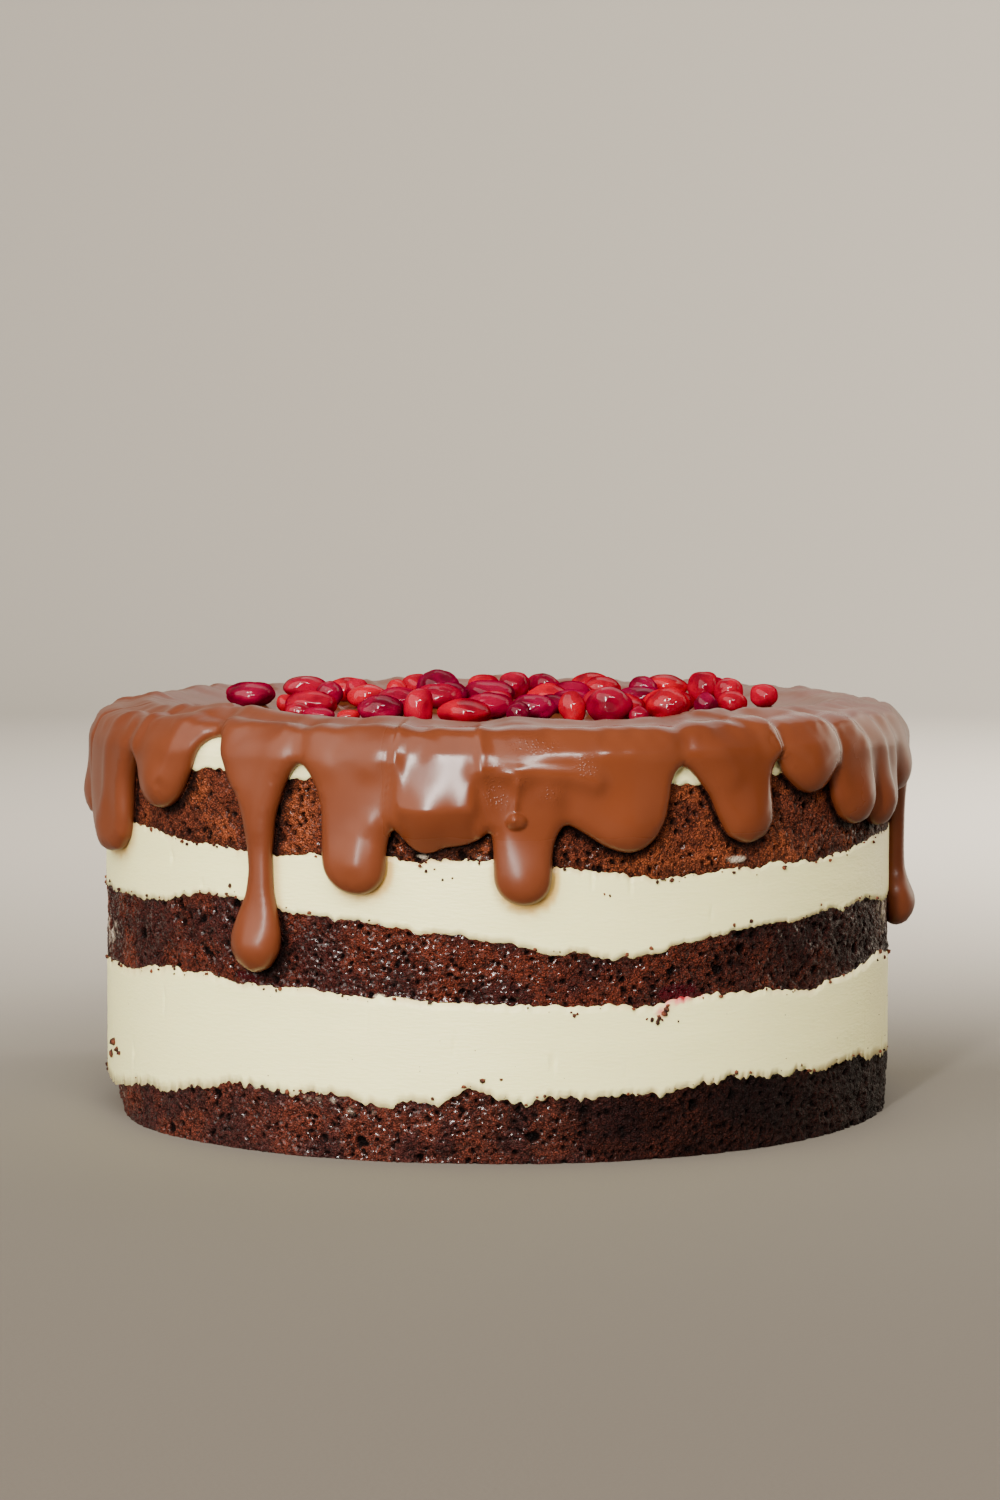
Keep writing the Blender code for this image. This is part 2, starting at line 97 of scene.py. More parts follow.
class Shade:
    """A shader socket to write sums with: each operator adds a Math node to the tree."""

    def __init__(self, tree, socket=None):
        self.tree = tree
        self.socket = socket

    def node(self, kind, settings, sockets, output=0):
        """A new node of that type: its settings are set first, then its sockets get values or links."""
        node = self.tree.nodes.new("ShaderNode" + kind)
        for name, value in settings.items():
            setattr(node, name, value)
        for name, value in sockets.items():
            if isinstance(value, Shade):
                self.tree.links.new(value.socket, node.inputs[name])
            else:
                node.inputs[name].default_value = value
        return Shade(self.tree, node.outputs[output])

    def maths(self, operation, a, b):
        """A Math node on two values or shades."""
        return self.node("Math", {"operation": operation}, {0: a, 1: b})

    def __add__(self, other):
        return self.maths("ADD", self, other)

    def __sub__(self, other):
        return self.maths("SUBTRACT", self, other)

    def __mul__(self, other):
        return self.maths("MULTIPLY", self, other)

    def __radd__(self, other):
        return self.maths("ADD", other, self)

    def __rsub__(self, other):
        return self.maths("SUBTRACT", other, self)

    def __rmul__(self, other):
        return self.maths("MULTIPLY", other, self)

    def step(self, low, high):
        """0 below low, 1 above high, and smooth between them."""
        return self.node("MapRange", {"interpolation_type": "SMOOTHSTEP"}, {0: self, 1: low, 2: high})

    def blend(self, first, second):
        """The first colour where this mask is 0, and the second where it is 1."""
        return self.node("Mix", {"data_type": "RGBA"}, {0: self, 6: first, 7: second}, 2)

    def noise(self, scale, detail=2.0, stretch=(1, 1, 1)):
        """Noise from 0 to 1 over the piece's own coordinates, with scale in features a metre."""
        place = self.node("TexCoord", {}, {}, "Object")
        place = self.node("Mapping", {}, {"Vector": place, "Scale": stretch})
        return self.node("TexNoise", {}, {"Vector": place, "Scale": scale, "Detail": detail}, "Fac")

    def cells(self, scale, output="Distance"):
        """Distance to the nearest of evenly scattered points over the piece's own coordinates, or that
        point's own random colour."""
        place = self.node("TexCoord", {}, {}, "Object")
        return self.node("TexVoronoi", {}, {"Vector": place, "Scale": scale}, output)

    def attribute(self, name):
        """The number that the mesh holds for each of its vertices under that name."""
        return self.node("Attribute", {"attribute_name": name}, {}, "Fac")

    def bump(self, height, distance, strength=1.0):
        """A normal for relief of that height, where 1 stands for the distance."""
        return self.node("Bump", {}, {"Height": height, "Distance": distance, "Strength": strength})


def new_material(name, **fixed):
    """A Principled material with its constant values set, and a Shade to wire the rest with."""
    material = bpy.data.materials.new(name)
    material.use_nodes = True
    principled = material.node_tree.nodes["Principled BSDF"]
    for socket, value in fixed.items():
        principled.inputs[socket.replace("_", " ").title().replace("Ior", "IOR")].default_value = value
    return material, Shade(material.node_tree), principled


def wire(principled, **links):
    """Links shades to the Principled's sockets."""
    for socket, shade in links.items():
        name = socket.replace("_", " ").title()
        shade.tree.links.new(shade.socket, principled.inputs[name])


def closed_skin(rings):
    """Vertices and faces of a closed surface through rings of points, lowest ring first: quads between rings
    and a fan to the middle of the first and the last."""
    rows, columns, _ = rings.shape
    index = np.arange(rows * columns).reshape(rows, columns)
    beside = np.roll(index, -1, axis=1)
    quads = np.stack([index[:-1], beside[:-1], beside[1:], index[1:]], -1).reshape(-1, 4)
    low, high = rows * columns, rows * columns + 1
    feet = np.stack([beside[0], index[0], np.full(columns, low)], -1)
    roof = np.stack([index[-1], beside[-1], np.full(columns, high)], -1)
    points = np.concatenate([rings.reshape(-1, 3), rings[0].mean(0)[None], rings[-1].mean(0)[None]])
    return points, quads.tolist() + feet.tolist() + roof.tolist()


def add_mesh(name, points, faces, material, **values):
    """A smooth-shaded object from points and faces, with one number a vertex for each named attribute."""
    mesh = bpy.data.meshes.new(name)
    mesh.from_pydata(points.tolist(), [], faces)
    for attribute, numbers in values.items():
        layer = mesh.attributes.new(attribute, "FLOAT", "POINT")
        layer.data.foreach_set("value", np.ascontiguousarray(numbers, np.float32))
    mesh.shade_smooth()
    mesh.materials.append(material)
    thing = bpy.data.objects.new(name, mesh)
    bpy.context.scene.collection.objects.link(thing)
    return thing


turn = np.linspace(0, 2 * math.pi, FLOOR_COLUMNS, endpoint=False)
bend = np.linspace(0, math.pi / 2, SWEEP_ROWS)
profile = np.concatenate([
    [(radius, 0.0) for radius in FLAT_RINGS],
    np.stack([FLOOR_RADIUS + SWEEP_RADIUS * np.sin(bend), SWEEP_RADIUS * (1 - np.cos(bend))], 1),
    [(FLOOR_RADIUS + SWEEP_RADIUS, WALL_HEIGHT)]])
rings = np.stack([
    profile[:, :1] * np.sin(turn), -profile[:, :1] * np.cos(turn),
    np.broadcast_to(profile[:, 1:], (len(profile), len(turn)))], -1)
points, faces = closed_skin(rings)
material, shade, principled = new_material("floor", roughness=0.85, specular_ior_level=0.2)
# Painted light: the floor's colour pales from front to back
depth = shade.node("SeparateXYZ", {}, {"Vector": shade.node("TexCoord", {}, {}, "Object")}, "Y")
wire(principled,
     base_color=depth.step(*FLOOR_CHANGE).blend(FLOOR_NEAR_PAINTED_SHADE, FLOOR_FAR_PAINTED_LIGHT),
     normal=shade.bump(shade.noise(900, 2), 0.0002, 0.3))
# The sweep is seen from inside, so its faces are turned round, and the fan across its top is left off
faces = [face[::-1] for face in faces[:-len(turn)]]
add_mesh("floor", points, faces, material)


# Soft daylight from the front left: a bright pane in a narrow window just left of the camera, a broad dim
# window further left, a strip high up on the right, a weak warm fill, two lights for the far side, and a
# wash on the wall.
LIGHTS = {
    # azimuth, elevation and distance as seen from the cake, width, height, radiance, colour
    "bright_pane": (-15.0, 17, 1.34, 0.072, 0.70, 122, (1.0, 0.96, 0.90)),
    "window": (-16.5, 20, 1.36, 0.27, 0.75, 6, (1.0, 0.96, 0.90)),
    "left_window": (-43, 33, 1.45, 2.0, 2.0, 3.3, (1.0, 0.95, 0.87)),
    "high_pane": (15, 37, 1.45, 0.55, 0.12, 62, (1.0, 0.96, 0.90)),
    "fill": (55, 15, 1.50, 1.0, 1.0, 0.4, (1.0, 0.84, 0.62)),
    "side_light": (123, 18, 1.45, 1.0, 1.0, 2.8, (1.0, 0.87, 0.68)),
    "back_light": (160, 42, 1.60, 1.4, 1.2, 1.3, (1.0, 0.97, 0.92))}
LIT_POINT = (0, 0, 0.07)
# The wash's place, what it is aimed at, its width, height, radiance and colour
WALL_WASH = ((0.80, 0.42, 0.92), (0.60, 2.6, 0.15), 1.2, 0.5, 92, (1.0, 0.97, 0.93))
ROOM_COLOUR = (1.0, 0.96, 0.91, 1)
ROOM_STRENGTH = 0.25


def add_light(name, place, aim, width, height, radiance, colour):
    """A rectangle of light: its power is pi times its area times its radiance."""
    light = bpy.data.lights.new(name, "AREA")
    light.shape = "RECTANGLE"
    light.size = width
    light.size_y = height
    light.energy = math.pi * width * height * radiance
    light.color = colour
    lamp = bpy.data.objects.new(name, light)
    lamp.location = place
    lamp.rotation_euler = (Vector(aim) - Vector(place)).to_track_quat("-Z", "Y").to_euler()
    lamp.visible_camera = False
    bpy.context.scene.collection.objects.link(lamp)


for name, (azimuth, elevation, distance, *rest) in LIGHTS.items():
    azimuth, elevation = math.radians(azimuth), math.radians(elevation)
    ahead = distance * math.cos(elevation)
    way = Vector((ahead * math.sin(azimuth), -ahead * math.cos(azimuth), distance * math.sin(elevation)))
    add_light(name, Vector(LIT_POINT) + way, LIT_POINT, *rest)
add_light("wall_wash", *WALL_WASH)
world = bpy.data.worlds.new("room")
world.use_nodes = True
world.node_tree.nodes["Background"].inputs["Color"].default_value = ROOM_COLOUR
world.node_tree.nodes["Background"].inputs["Strength"].default_value = ROOM_STRENGTH
bpy.context.scene.world = world


# The three sponges are moist chocolate crumb, baked in a ring and cut level, so that their sides show open
# pores and torn crumbs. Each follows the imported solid's foot and roof, with the crags and pores cut finer.
SECTORS = 96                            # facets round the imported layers
SPONGE_COLUMNS = 1560
SPONGE_ROWS = 54
SPONGE_RADIUS = 99.5 * MM
SPONGE_FINISH = {
    # dry crumb and soaked crumb in the light, crumb painted in shade for the holes and gaps, roughness, how
    # moist it is
    "sponge_base": (
        (0.150, 0.0320, 0.0180, 1), (0.066, 0.0165, 0.0140, 1), (0.0026, 0.0008, 0.0007, 1), 0.60, 0.8),
    "sponge_middle": (
        (0.148, 0.0275, 0.0135, 1), (0.060, 0.0125, 0.0100, 1), (0.0026, 0.0007, 0.0006, 1), 0.55, 1.0),
    "sponge_top": (
        (0.330, 0.0770, 0.0270, 1), (0.170, 0.0370, 0.0170, 1), (0.0050, 0.0014, 0.0009, 1), 0.65, 0.4),
}
SMEAR_COLOUR = (0.56, 0.47, 0.36, 1)
JUICE_COLOUR = (0.043, 0.0011, 0.0036, 1)
# A painted shade darkens each sponge towards the cake's right side, away from the light: the angles between
# which it grows, and how dark it makes the crumb
RIGHT_SIDE_SHADE = {"sponge_base": (-14, 34, 0.88), "sponge_middle": (-2, 55, 0.62), "sponge_top": (40, 68, 0.35)}
# Cream dragged over the crumb by the scraper: angle, height, half width in degrees, half height in mm, cover
SMEARS = {
    "sponge_base": (
        (-76, 7, 6, 5, 0.45), (-25, 13.5, 4, 1.6, 0.4), (-19, 11.5, 3, 1.4, 0.35), (150, 12, 14, 2.5, 0.4)),
    "sponge_middle": (
        (-77, 45, 8, 5, 0.42), (-15.9, 38.6, 0.9, 0.6, 0.9), (75, 50, 6, 6, 0.4), (-140, 48, 12, 3, 0.35)),
    "sponge_top": (
        (34, 69, 1.5, 0.8, 1.1), (-10.5, 71.0, 3, 0.5, 0.42), (-3.5, 70.9, 2.2, 0.4, 0.4),
        (-160, 74, 10, 2.5, 0.35)),
}
# Berry juice in the crumb, in the same terms
JUICE = {"sponge_middle": ((24.8, 38.8, 3.0, 2.2, 1.0), (-36, 41, 3, 1.5, 0.5))}
# Where crumb has broken away: angle, height, half width in degrees, half height in mm, depth in mm
BITES = {"sponge_base": ((-82, 2, 13, 9, 3.4), (96, 1, 12, 6, 2.2), (-3, 1, 16, 3, 0.9))}
GRAIN_SIZE = 1.15 * MM
PIT_PITCH = 1.7 * MM                    # one small hole in each cube of this size
CAVE_PITCH = 5.5 * MM                   # and one large one in each of this
FLUSH = 1.0 * MM                        # how far from a seam the crumb still lies level with the cream
# Each seam between two layers: the layers, the seed of its tears and how strong they are
SEAM_TEARS = {
    "base_top": ("sponge_base", "cream_lower", 11, 1.8),
    "middle_foot": ("cream_lower", "sponge_middle", 23, 1.2),
    "middle_top": ("sponge_middle", "cream_upper", 37, 1.3),
    "top_foot": ("cream_upper", "sponge_top", 41, 1.3),
    "top_top": ("sponge_top", "cream_cap", 53, 1.0),
}


def jumble(cell, seed):
    """A random number from 0 to 1 for each whole-numbered cell: the fraction left of a large sine."""
    return np.sin(cell @ np.array([12.9898, 78.233, 37.719]) + 3.17 * seed) * 43758.5453 % 1.0


def noise(points, seed):
    """Smooth noise from -1 to 1: a random number at each corner of a unit cell, blended by 3t² - 2t³."""
    cell = np.floor(points)
    share = points - cell
    share = share * share * (3 - 2 * share)
    total = np.zeros(points.shape[:-1])
    for corner in np.ndindex(2, 2, 2):
        total += np.prod(np.where(corner, share, 1 - share), axis=-1) * jumble(cell + corner, seed)
    return 2 * total - 1


def pores(points, seed, least=0.25):
    """Distance to the nearest of one random centre in each unit cell, over that centre's own random size."""
    cell = np.floor(points)
    best = np.full(points.shape[:-1], 9.0)
    for step in np.ndindex(3, 3, 3):
        near = cell + step - np.ones(3)
        centre = near + np.stack([jumble(near, seed + axis) for axis in (1, 2, 3)], -1)
        size = least + (1 - least) * jumble(near, seed + 4)
        best = np.minimum(best, np.linalg.norm(points - centre, axis=-1) / size)
    return best


def fade(value, low, high):
    """0 below low, 1 above high, smooth between them, and the other way round where low is above high."""
    share = np.clip((value - low) / (high - low), 0, 1)
    return share * share * (3 - 2 * share)


def corners(mesh):
    """The places of a mesh's vertices, one row each."""
    place = np.empty(3 * len(mesh.vertices), np.float32)
    mesh.vertices.foreach_get("co", place)
    return place.reshape(-1, 3)


def rim_heights(node, extreme):
    """The height of a packed layer's rim in each of its sectors: np.maximum for its roof and np.minimum for
    its foot."""
    x, y, z = corners(frame["nodes"][node].data).T.astype(float)
    side = np.hypot(x, y) > 0.9 * SPONGE_RADIUS
    sector = np.round(np.degrees(np.arctan2(x, -y)) / (360 / SECTORS)).astype(int) % SECTORS
    heights = np.full(SECTORS, -extreme.reduce([-1e9, 1e9]))
    extreme.at(heights, sector[side], z[side])
    return heights


def seam(lower, upper, seed, crag):
    """The line between two layers as a function of the angle in degrees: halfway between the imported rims,
    with the tears of the crumb added as three sizes of noise."""
    level = (rim_heights(lower, np.maximum) + rim_heights(upper, np.minimum)) / 2
    degrees = np.arange(SECTORS) * 360 / SECTORS

    def height(angle):
        line = np.interp(angle, degrees, level, period=360)
        turn = np.radians(angle)
        place = np.stack([np.sin(turn), -np.cos(turn), np.full_like(turn, seed)], -1) * SPONGE_RADIUS
        tear = 0.42 * noise(place / (4.2 * MM), seed) + 0.40 * noise(place / (1.7 * MM), seed + 1)
        tear += 0.30 * noise(place / (0.8 * MM), seed + 2)
        return line + crag * tear * MM
    return height


def wrapped(degrees):
    """The same angle from -180 to 180."""
    return (degrees + 180) % 360 - 180


def spread(spots, degrees, height, power=2):
    """The greatest of the spots' bell curves at each point, with e to the minus distance to that power."""
    cover = np.zeros_like(height)
    for angle, level, half_angle, half_height, strength in spots:
        aside = wrapped(degrees - angle) / half_angle
        above = (height - level * MM) / (half_height * MM)
        cover = np.maximum(cover, strength * np.exp(-(np.abs(aside) ** power + np.abs(above) ** power)))
    return cover


def patches(spots, degrees, height, seed, place):
    """Cover from 0 to 1 of the spots, broken up by the surface's own noise."""
    cover = spread(spots, degrees, height)
    rough = noise(place / (1.9 * MM), seed) + 0.5 * noise(place / (0.7 * MM), seed + 1)
    return fade(cover + 0.22 * rough * (cover > 0.02), 0.28, 0.55)


def layer_grid(foot, roof, columns, rows):
    """Angle in degrees and height of every point on a layer's side, from its foot seam to its roof seam."""
    degrees = np.broadcast_to(np.arange(columns) * 360 / columns - 180, (rows, columns))
    share = np.linspace(0, 1, rows)[:, None]
    return degrees, foot(degrees) * (1 - share) + roof(degrees) * share


def on_cylinder(degrees, radius, height):
    """Points at an angle round the cake, a distance from its axis and a height."""
    turn = np.radians(degrees)
    return np.stack([radius * np.sin(turn), -radius * np.cos(turn), height], -1)


def skin_values(grid, ends=(0, 0)):
    """A closed skin's numbers: those of its rings, and those of the middles of its first and last."""
    return np.append(grid.ravel(), ends)


SEAMS = {name: seam(*tears) for name, tears in SEAM_TEARS.items()}
SEAMS["underside"] = lambda degrees: np.zeros_like(degrees, float)


def add_sponge(node, foot, roof, seed):
    """A sponge's side is the crumb radius plus swells of two sizes, plus round grains packed side by side,
    less holes of two sizes scattered at random and what has broken away. It comes out level with the cream
    at a seam. Its colour is painted light and shade that follow that relief, light on the grains and dark
    in the holes and the gaps between them, with a painted shade towards the cake's right side and a painted
    shadow along the glaze's edge; the top sponge's foot is dark crust."""
    degrees, height = layer_grid(SEAMS[foot], SEAMS[roof], SPONGE_COLUMNS, SPONGE_ROWS)
    place = on_cylinder(degrees, SPONGE_RADIUS, height)
    bend = np.stack([noise(place / (1.3 * MM), seed + axis) for axis in (20, 21, 22)], -1)
    bent = place + 0.45 * MM * bend
    swell = 0.34 * noise(place / (5.0 * MM), seed) + 0.30 * noise(place / (2.2 * MM), seed + 1)
    grain = 1 - np.clip(pores(bent / GRAIN_SIZE, seed + 2, 0.8), 0, 1) ** 2
    pits = fade(pores(bent / PIT_PITCH, seed + 5, 0.10), 0.54, 0.28)
    caves = fade(pores(bent / CAVE_PITCH, seed + 9, 0.10), 0.34, 0.16)
    smear = patches(SMEARS[node], degrees, height, seed, place)
    juice = patches(JUICE.get(node, ()), degrees, height, seed + 3, place)
    hollow = (0.8 * pits + 1.1 * caves) * (1 - 0.85 * smear)
    relief = swell + 0.46 * (grain - 0.5) * (1 - 0.6 * smear) - hollow + 0.3 * smear
    above = np.minimum(height[-1] - height, np.inf if foot == "underside" else height - height[0])
    level = fade(above, 0, FLUSH)
    broken = spread(BITES.get(node, ()), degrees, height)
    radius = SPONGE_RADIUS + (relief * level + 0.3 * (1 - level) - broken) * MM
    dry, soaked, painted_shade_colour, rough, moist = SPONGE_FINISH[node]
    material, shade, principled = new_material(node, specular_ior_level=0.08, coat_roughness=0.16)
    kernel = shade.cells(2300).step(0.72, 0.28)
    grit = shade.cells(2300, "Color").step(0.30, 0.72)
    clump = shade.noise(800, 3).step(0.36, 0.62)
    lit = shade.noise(70, 4).step(0.42, 0.60).blend(soaked, dry)
    # Painted light and shade: light on the grains, dark in their gaps and in the holes
    shown = shade.attribute("shown") * (0.12 + 0.35 * clump + kernel * (0.25 + 0.95 * grit))
    # Painted shadow along the glaze's edge, where the crumb is also dark with fat
    shown = shown * (1 - shade.attribute("shaded"))
    stained = shade.attribute("juice").blend(shown.blend(painted_shade_colour, lit), JUICE_COLOUR)
    smeared = (shade.attribute("smear") * 0.85).blend(stained, SMEAR_COLOUR)
    wet = shade.cells(1900, "Color").step(0.60, 0.70) * shade.attribute("shown").step(0.2, 0.6) * moist
    wire(principled,
         base_color=smeared,
         roughness=rough - grit * 0.1,
         coat_weight=wet * (1 - shade.attribute("shaded")),
         normal=shade.bump(kernel * 0.5 + clump * 0.6, 0.0008, 0.9))
    crust = 0.0
    if node == "sponge_top":
        crust = fade((height - height[0]) / MM + noise(place / (2.0 * MM), seed + 8), 2.6, 0.6)
    # Painted shade, darker towards the cake's right side, away from the light
    start, end, loss = RIGHT_SIDE_SHADE[node]
    sinking_and_side_shade = loss * fade(degrees + 9 * noise(place / (9 * MM), seed + 12), start, end) * fade(degrees, 170, 120)
    painted_light_and_crust_share = np.clip(0.56 + 0.50 * grain + 0.6 * swell - 1.2 * hollow, 0.0, 1.35)
    painted_light_and_crust_share = painted_light_and_crust_share * (1 - 0.55 * crust) * (1 - sinking_and_side_shade)
    points, faces = closed_skin(on_cylinder(degrees, radius, height))
    piece = add_mesh(
        node + "_crumb", points, faces, material,
        shown=skin_values(painted_light_and_crust_share), smear=skin_values(smear), juice=skin_values(juice))
    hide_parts(node)
    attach(piece, "root")


add_sponge("sponge_base", "underside", "base_top", 3)
add_sponge("sponge_middle", "middle_foot", "middle_top", 19)
add_sponge("sponge_top", "top_foot", "top_top", 31)


# The two fillings and the cap are ivory cream cheese, scraped flush with the ring: smooth, with faint level
# strokes, a few air holes, cocoa along the seams, berry juice that has run, and oil under the drips.
CREAM_COLUMNS = SPONGE_COLUMNS
CREAM_ROWS = 12
CREAM_RADIUS = 99.9 * MM
CREAM_GLOW = (0.004, 0.003, 0.0016)     # how deep red, green and blue light sink in
CREAM_COLOUR = (0.93, 0.890, 0.420, 1)
CREAM_DIM = tuple(0.955 * channel for channel in CREAM_COLOUR)
CREAM_SHADOW = (0.91, 0.86, 0.45, 1)
OILY_CREAM = (0.62, 0.36, 0.055, 1)
CREAM_FAT_AND_PAINTED_SHADE = (0.50, 0.26, 0.06, 1)
COCOA_CREAM = (0.55, 0.33, 0.15, 1)
PINK_CREAM = (0.72, 0.22, 0.17, 1)
RED_CREAM = (0.30, 0.010, 0.018, 1)
STROKES = np.array([26, 26, 1.6]) * MM  # the size of a scraper stroke, and of the fine ones across it
FINE_STROKES = np.array([9, 9, 0.8]) * MM
SAGS = np.array([30, 30, 14]) * MM
AIR_HOLE_PITCH = 7.0 * MM
# Juice that has run into the cream: angle, height, half width in degrees, half height in mm, strength
JUICE_RUNS = {"cream_lower": (
    (23.9, 36.5, 1.0, 1.0, 1.1), (25.4, 37.6, 1.5, 1.2, 1.2), (27.3, 38.6, 1.8, 1.1, 1.1),
    (29.6, 38.8, 1.8, 0.6, 0.7), (22.4, 34.3, 1.3, 1.8, 0.5), (-36, 38.6, 3.0, 0.7, 0.6))}
# Oil that has left the glaze under its tips, in the same terms, in spots a little squarer than a bell curve's
OIL_SQUARENESS = 2.4
OIL = {"cream_upper": (
    (4.2, 66.0, 4.0, 7.6, 1.0), (-18.25, 67.8, 4.85, 7.1, 0.8), (-71, 69, 7.5, 4.5, 0.7),
    (87, 48, 5, 6, 0.5))}


def add_cream(node, foot, roof, seed):
    """A cream's side is the ring's radius with level strokes, which are noise stretched round the cake."""
    degrees, height = layer_grid(SEAMS[foot], SEAMS[roof], CREAM_COLUMNS, CREAM_ROWS)
    place = on_cylinder(degrees, CREAM_RADIUS, height)
    stroke = noise(place / STROKES, seed) + 0.6 * noise(place / FINE_STROKES, seed)
    sag = noise(place / SAGS, seed + 2)
    holes = fade(pores(place / AIR_HOLE_PITCH, seed + 4), 0.17, 0.09)
    radius = CREAM_RADIUS + (0.07 * stroke + 0.12 * sag - 0.45 * holes) * MM
    edge = np.minimum(height - height[0], height[-1] - height) / MM
    cocoa = fade(edge + 0.9 * noise(place / (2.4 * MM), seed + 6), 1.0, -0.6)
    ragged = 0.85 + 0.4 * noise(place / (1.1 * MM), seed + 7)
    juice = spread(JUICE_RUNS.get(node, ()), degrees, height) * ragged
    oil = fade(spread(OIL.get(node, ()), degrees, height, OIL_SQUARENESS), 0.30, 0.42)
    material, shade, principled = new_material(
        node, roughness=0.42, subsurface_weight=0.12, subsurface_radius=CREAM_GLOW, subsurface_scale=1.0,
        specular_ior_level=0.4)
    tone = shade.noise(28, 3).step(0.3, 0.75).blend(CREAM_COLOUR, CREAM_DIM)
    tone = (shade.attribute("oil") * 0.75).blend(tone, OILY_CREAM)
    # Painted shadow along the glaze's edge, in the colour of cream stained by its fat
    tone = (shade.attribute("shaded") * 0.55).blend(tone, CREAM_FAT_AND_PAINTED_SHADE)
    tone = (shade.attribute("cocoa") * 0.55).blend(tone, COCOA_CREAM)
    stain = shade.attribute("juice").step(0.45, 0.95).blend(PINK_CREAM, RED_CREAM)
    tone = shade.attribute("juice").step(0.10, 0.50).blend(tone, stain)
    wire(principled,
         base_color=tone,
         normal=shade.bump(shade.noise(420, 3, (1, 1, 4)), 0.0003, 0.35))
    points, faces = closed_skin(on_cylinder(degrees, radius, height))
    piece = add_mesh(
        node + "_scraped", points, faces, material,
        cocoa=skin_values(cocoa), juice=skin_values(juice), oil=skin_values(oil))
    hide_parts(node)
    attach(piece, "root")


add_cream("cream_lower", "base_top", "middle_foot", 61)
add_cream("cream_upper", "middle_top", "top_foot", 67)


# The cap is the same cream, spread over the top sponge and rounded at its upper edge. It shows only in the
# gaps between the drips.
CAP_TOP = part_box("cream_cap")[1][2]
CAP_EDGE_RADIUS = 4.4 * MM
CAP_SET_BACK = 0.1 * MM
CAP_WALL_ROWS = 6
CAP_ARC_ROWS = 7
CAP_FAT_AND_PAINTED_SHADE = (0.55, 0.30, 0.07, 1)
degrees = np.arange(CREAM_COLUMNS) * 360 / CREAM_COLUMNS - 180
foot = SEAMS["top_top"](degrees)
wall = np.linspace(0, 1, CAP_WALL_ROWS)[:, None]
arc = np.linspace(0, math.pi / 2, CAP_ARC_ROWS)[:, None]
height = np.concatenate([
    foot * (1 - wall) + (CAP_TOP - CAP_EDGE_RADIUS) * wall,
    CAP_TOP - CAP_EDGE_RADIUS * (1 - np.sin(arc)) + 0 * foot])
inset = np.concatenate([np.zeros_like(wall), CAP_EDGE_RADIUS * (1 - np.cos(arc))])
place = on_cylinder(degrees, CREAM_RADIUS - inset, height)
ripple = 0.25 * noise(place / (6 * MM), 71) * MM * (inset < 3 * MM)
points, faces = closed_skin(on_cylinder(degrees, CREAM_RADIUS - inset + ripple - CAP_SET_BACK, height))
material, shade, principled = new_material(
    "cream_cap", roughness=0.45, subsurface_weight=0.1, subsurface_radius=CREAM_GLOW, subsurface_scale=1.0)
tone = shade.noise(90, 3).step(0.3, 0.7).blend(CREAM_COLOUR, CREAM_SHADOW)
wire(principled,
     # Painted shadow along the glaze's edge, in the colour of cream stained by its fat
     base_color=(shade.attribute("shaded") * 0.1).blend(tone, CAP_FAT_AND_PAINTED_SHADE),
     normal=shade.bump(shade.noise(300, 3), 0.0005, 0.5))
piece = add_mesh("cream_cap_spread", points, faces, material)
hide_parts("cream_cap")
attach(piece, "root")


# The glaze is milk chocolate ganache, poured warm over the cap: a sheet over the top that runs over the edge
# in drips, each with a bead at its tip. It sticks to the cake, so its inner face is sunk into the surface.
CAKE_RADIUS = 100 * MM
GLAZE_RADIUS = CAKE_RADIUS + 0.6 * MM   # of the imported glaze's inner face
GLAZE_TOP = CAP_TOP + 0.5 * MM
GLAZE_EDGE_RADIUS = 4.8 * MM
FLAT_RUN = GLAZE_RADIUS - GLAZE_EDGE_RADIUS  # how far out the top is flat
GLAZE_THICKNESS = 1.4 * MM              # on the top
CURTAIN_THICKNESS = 3.6 * MM            # down the side
STICK = 1.0 * MM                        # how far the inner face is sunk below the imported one
BEAD_THICKNESS = 1.6 * MM
LONG_BEAD_THICKNESS = 3.0 * MM
BEAD_HALF_WIDTH = 6.0 * MM
ROUND_OVER = 2.4 * MM                   # how far in from its edge the glaze is rounded
LIP_CURL = math.radians(55)             # how far the lip turns back under itself
LIP_DEPTHS = (0.3, 0.65, 1.0, 1.4, 1.85)  # mm from the edge to each row of points that shapes the lip
LIP_SPACING = 0.5 * MM                  # between points along the edge
LIP_SOFTENING = 12                      # rounds of averaging that take the corners off the edge
CURTAIN_SPACING = 0.75 * MM
TOP_SPACING = 1.15 * MM
FIELD_MARGIN = 2.2 * MM                 # between the edge and the even points
LINING_SPACING = 3.5 * MM               # of the inner face
LINING_TOP_SPACING = 8 * MM
LINING_MARGIN = 2.0 * MM
GLAZE_COLOUR = (0.110, 0.0255, 0.0085, 1)
GLAZE_PALE = (0.130, 0.0318, 0.0110, 1)
# Drips at the front, left to right, in degrees and mm: tip angle, tip height, left side, right side, and how
# far each side pinches in above the bead. An arch stands between each two.
FRONT_DRIPS = (
    (-86.0, 73.0, -92.0, -81.6, 0.0), (-69.0, 66.5, -77.6, -62.0, 0.0), (-52.1, 79.5, -56.8, -46.8, 0.0),
    (-33.5, 42.8, -37.4, -29.8, 1.9), (-18.4, 62.0, -23.4, -14.6, 0.0), (-8.9, 72.0, -12.4, -1.2, 0.0),
    (3.5, 60.1, -0.5, 7.1, 0.0), (17.2, 71.8, 10.8, 23.3, 0.0), (34.8, 72.6, 29.0, 39.3, 0.0),
    (46.3, 83.5, 42.6, 50.2, 0.0), (57.6, 74.8, 52.8, 61.2, 0.0), (66.5, 73.2, 62.6, 70.4, 0.0),
    (75.8, 80.3, 72.2, 79.4, 0.0), (87.0, 44.4, 83.0, 91.4, 1.9))
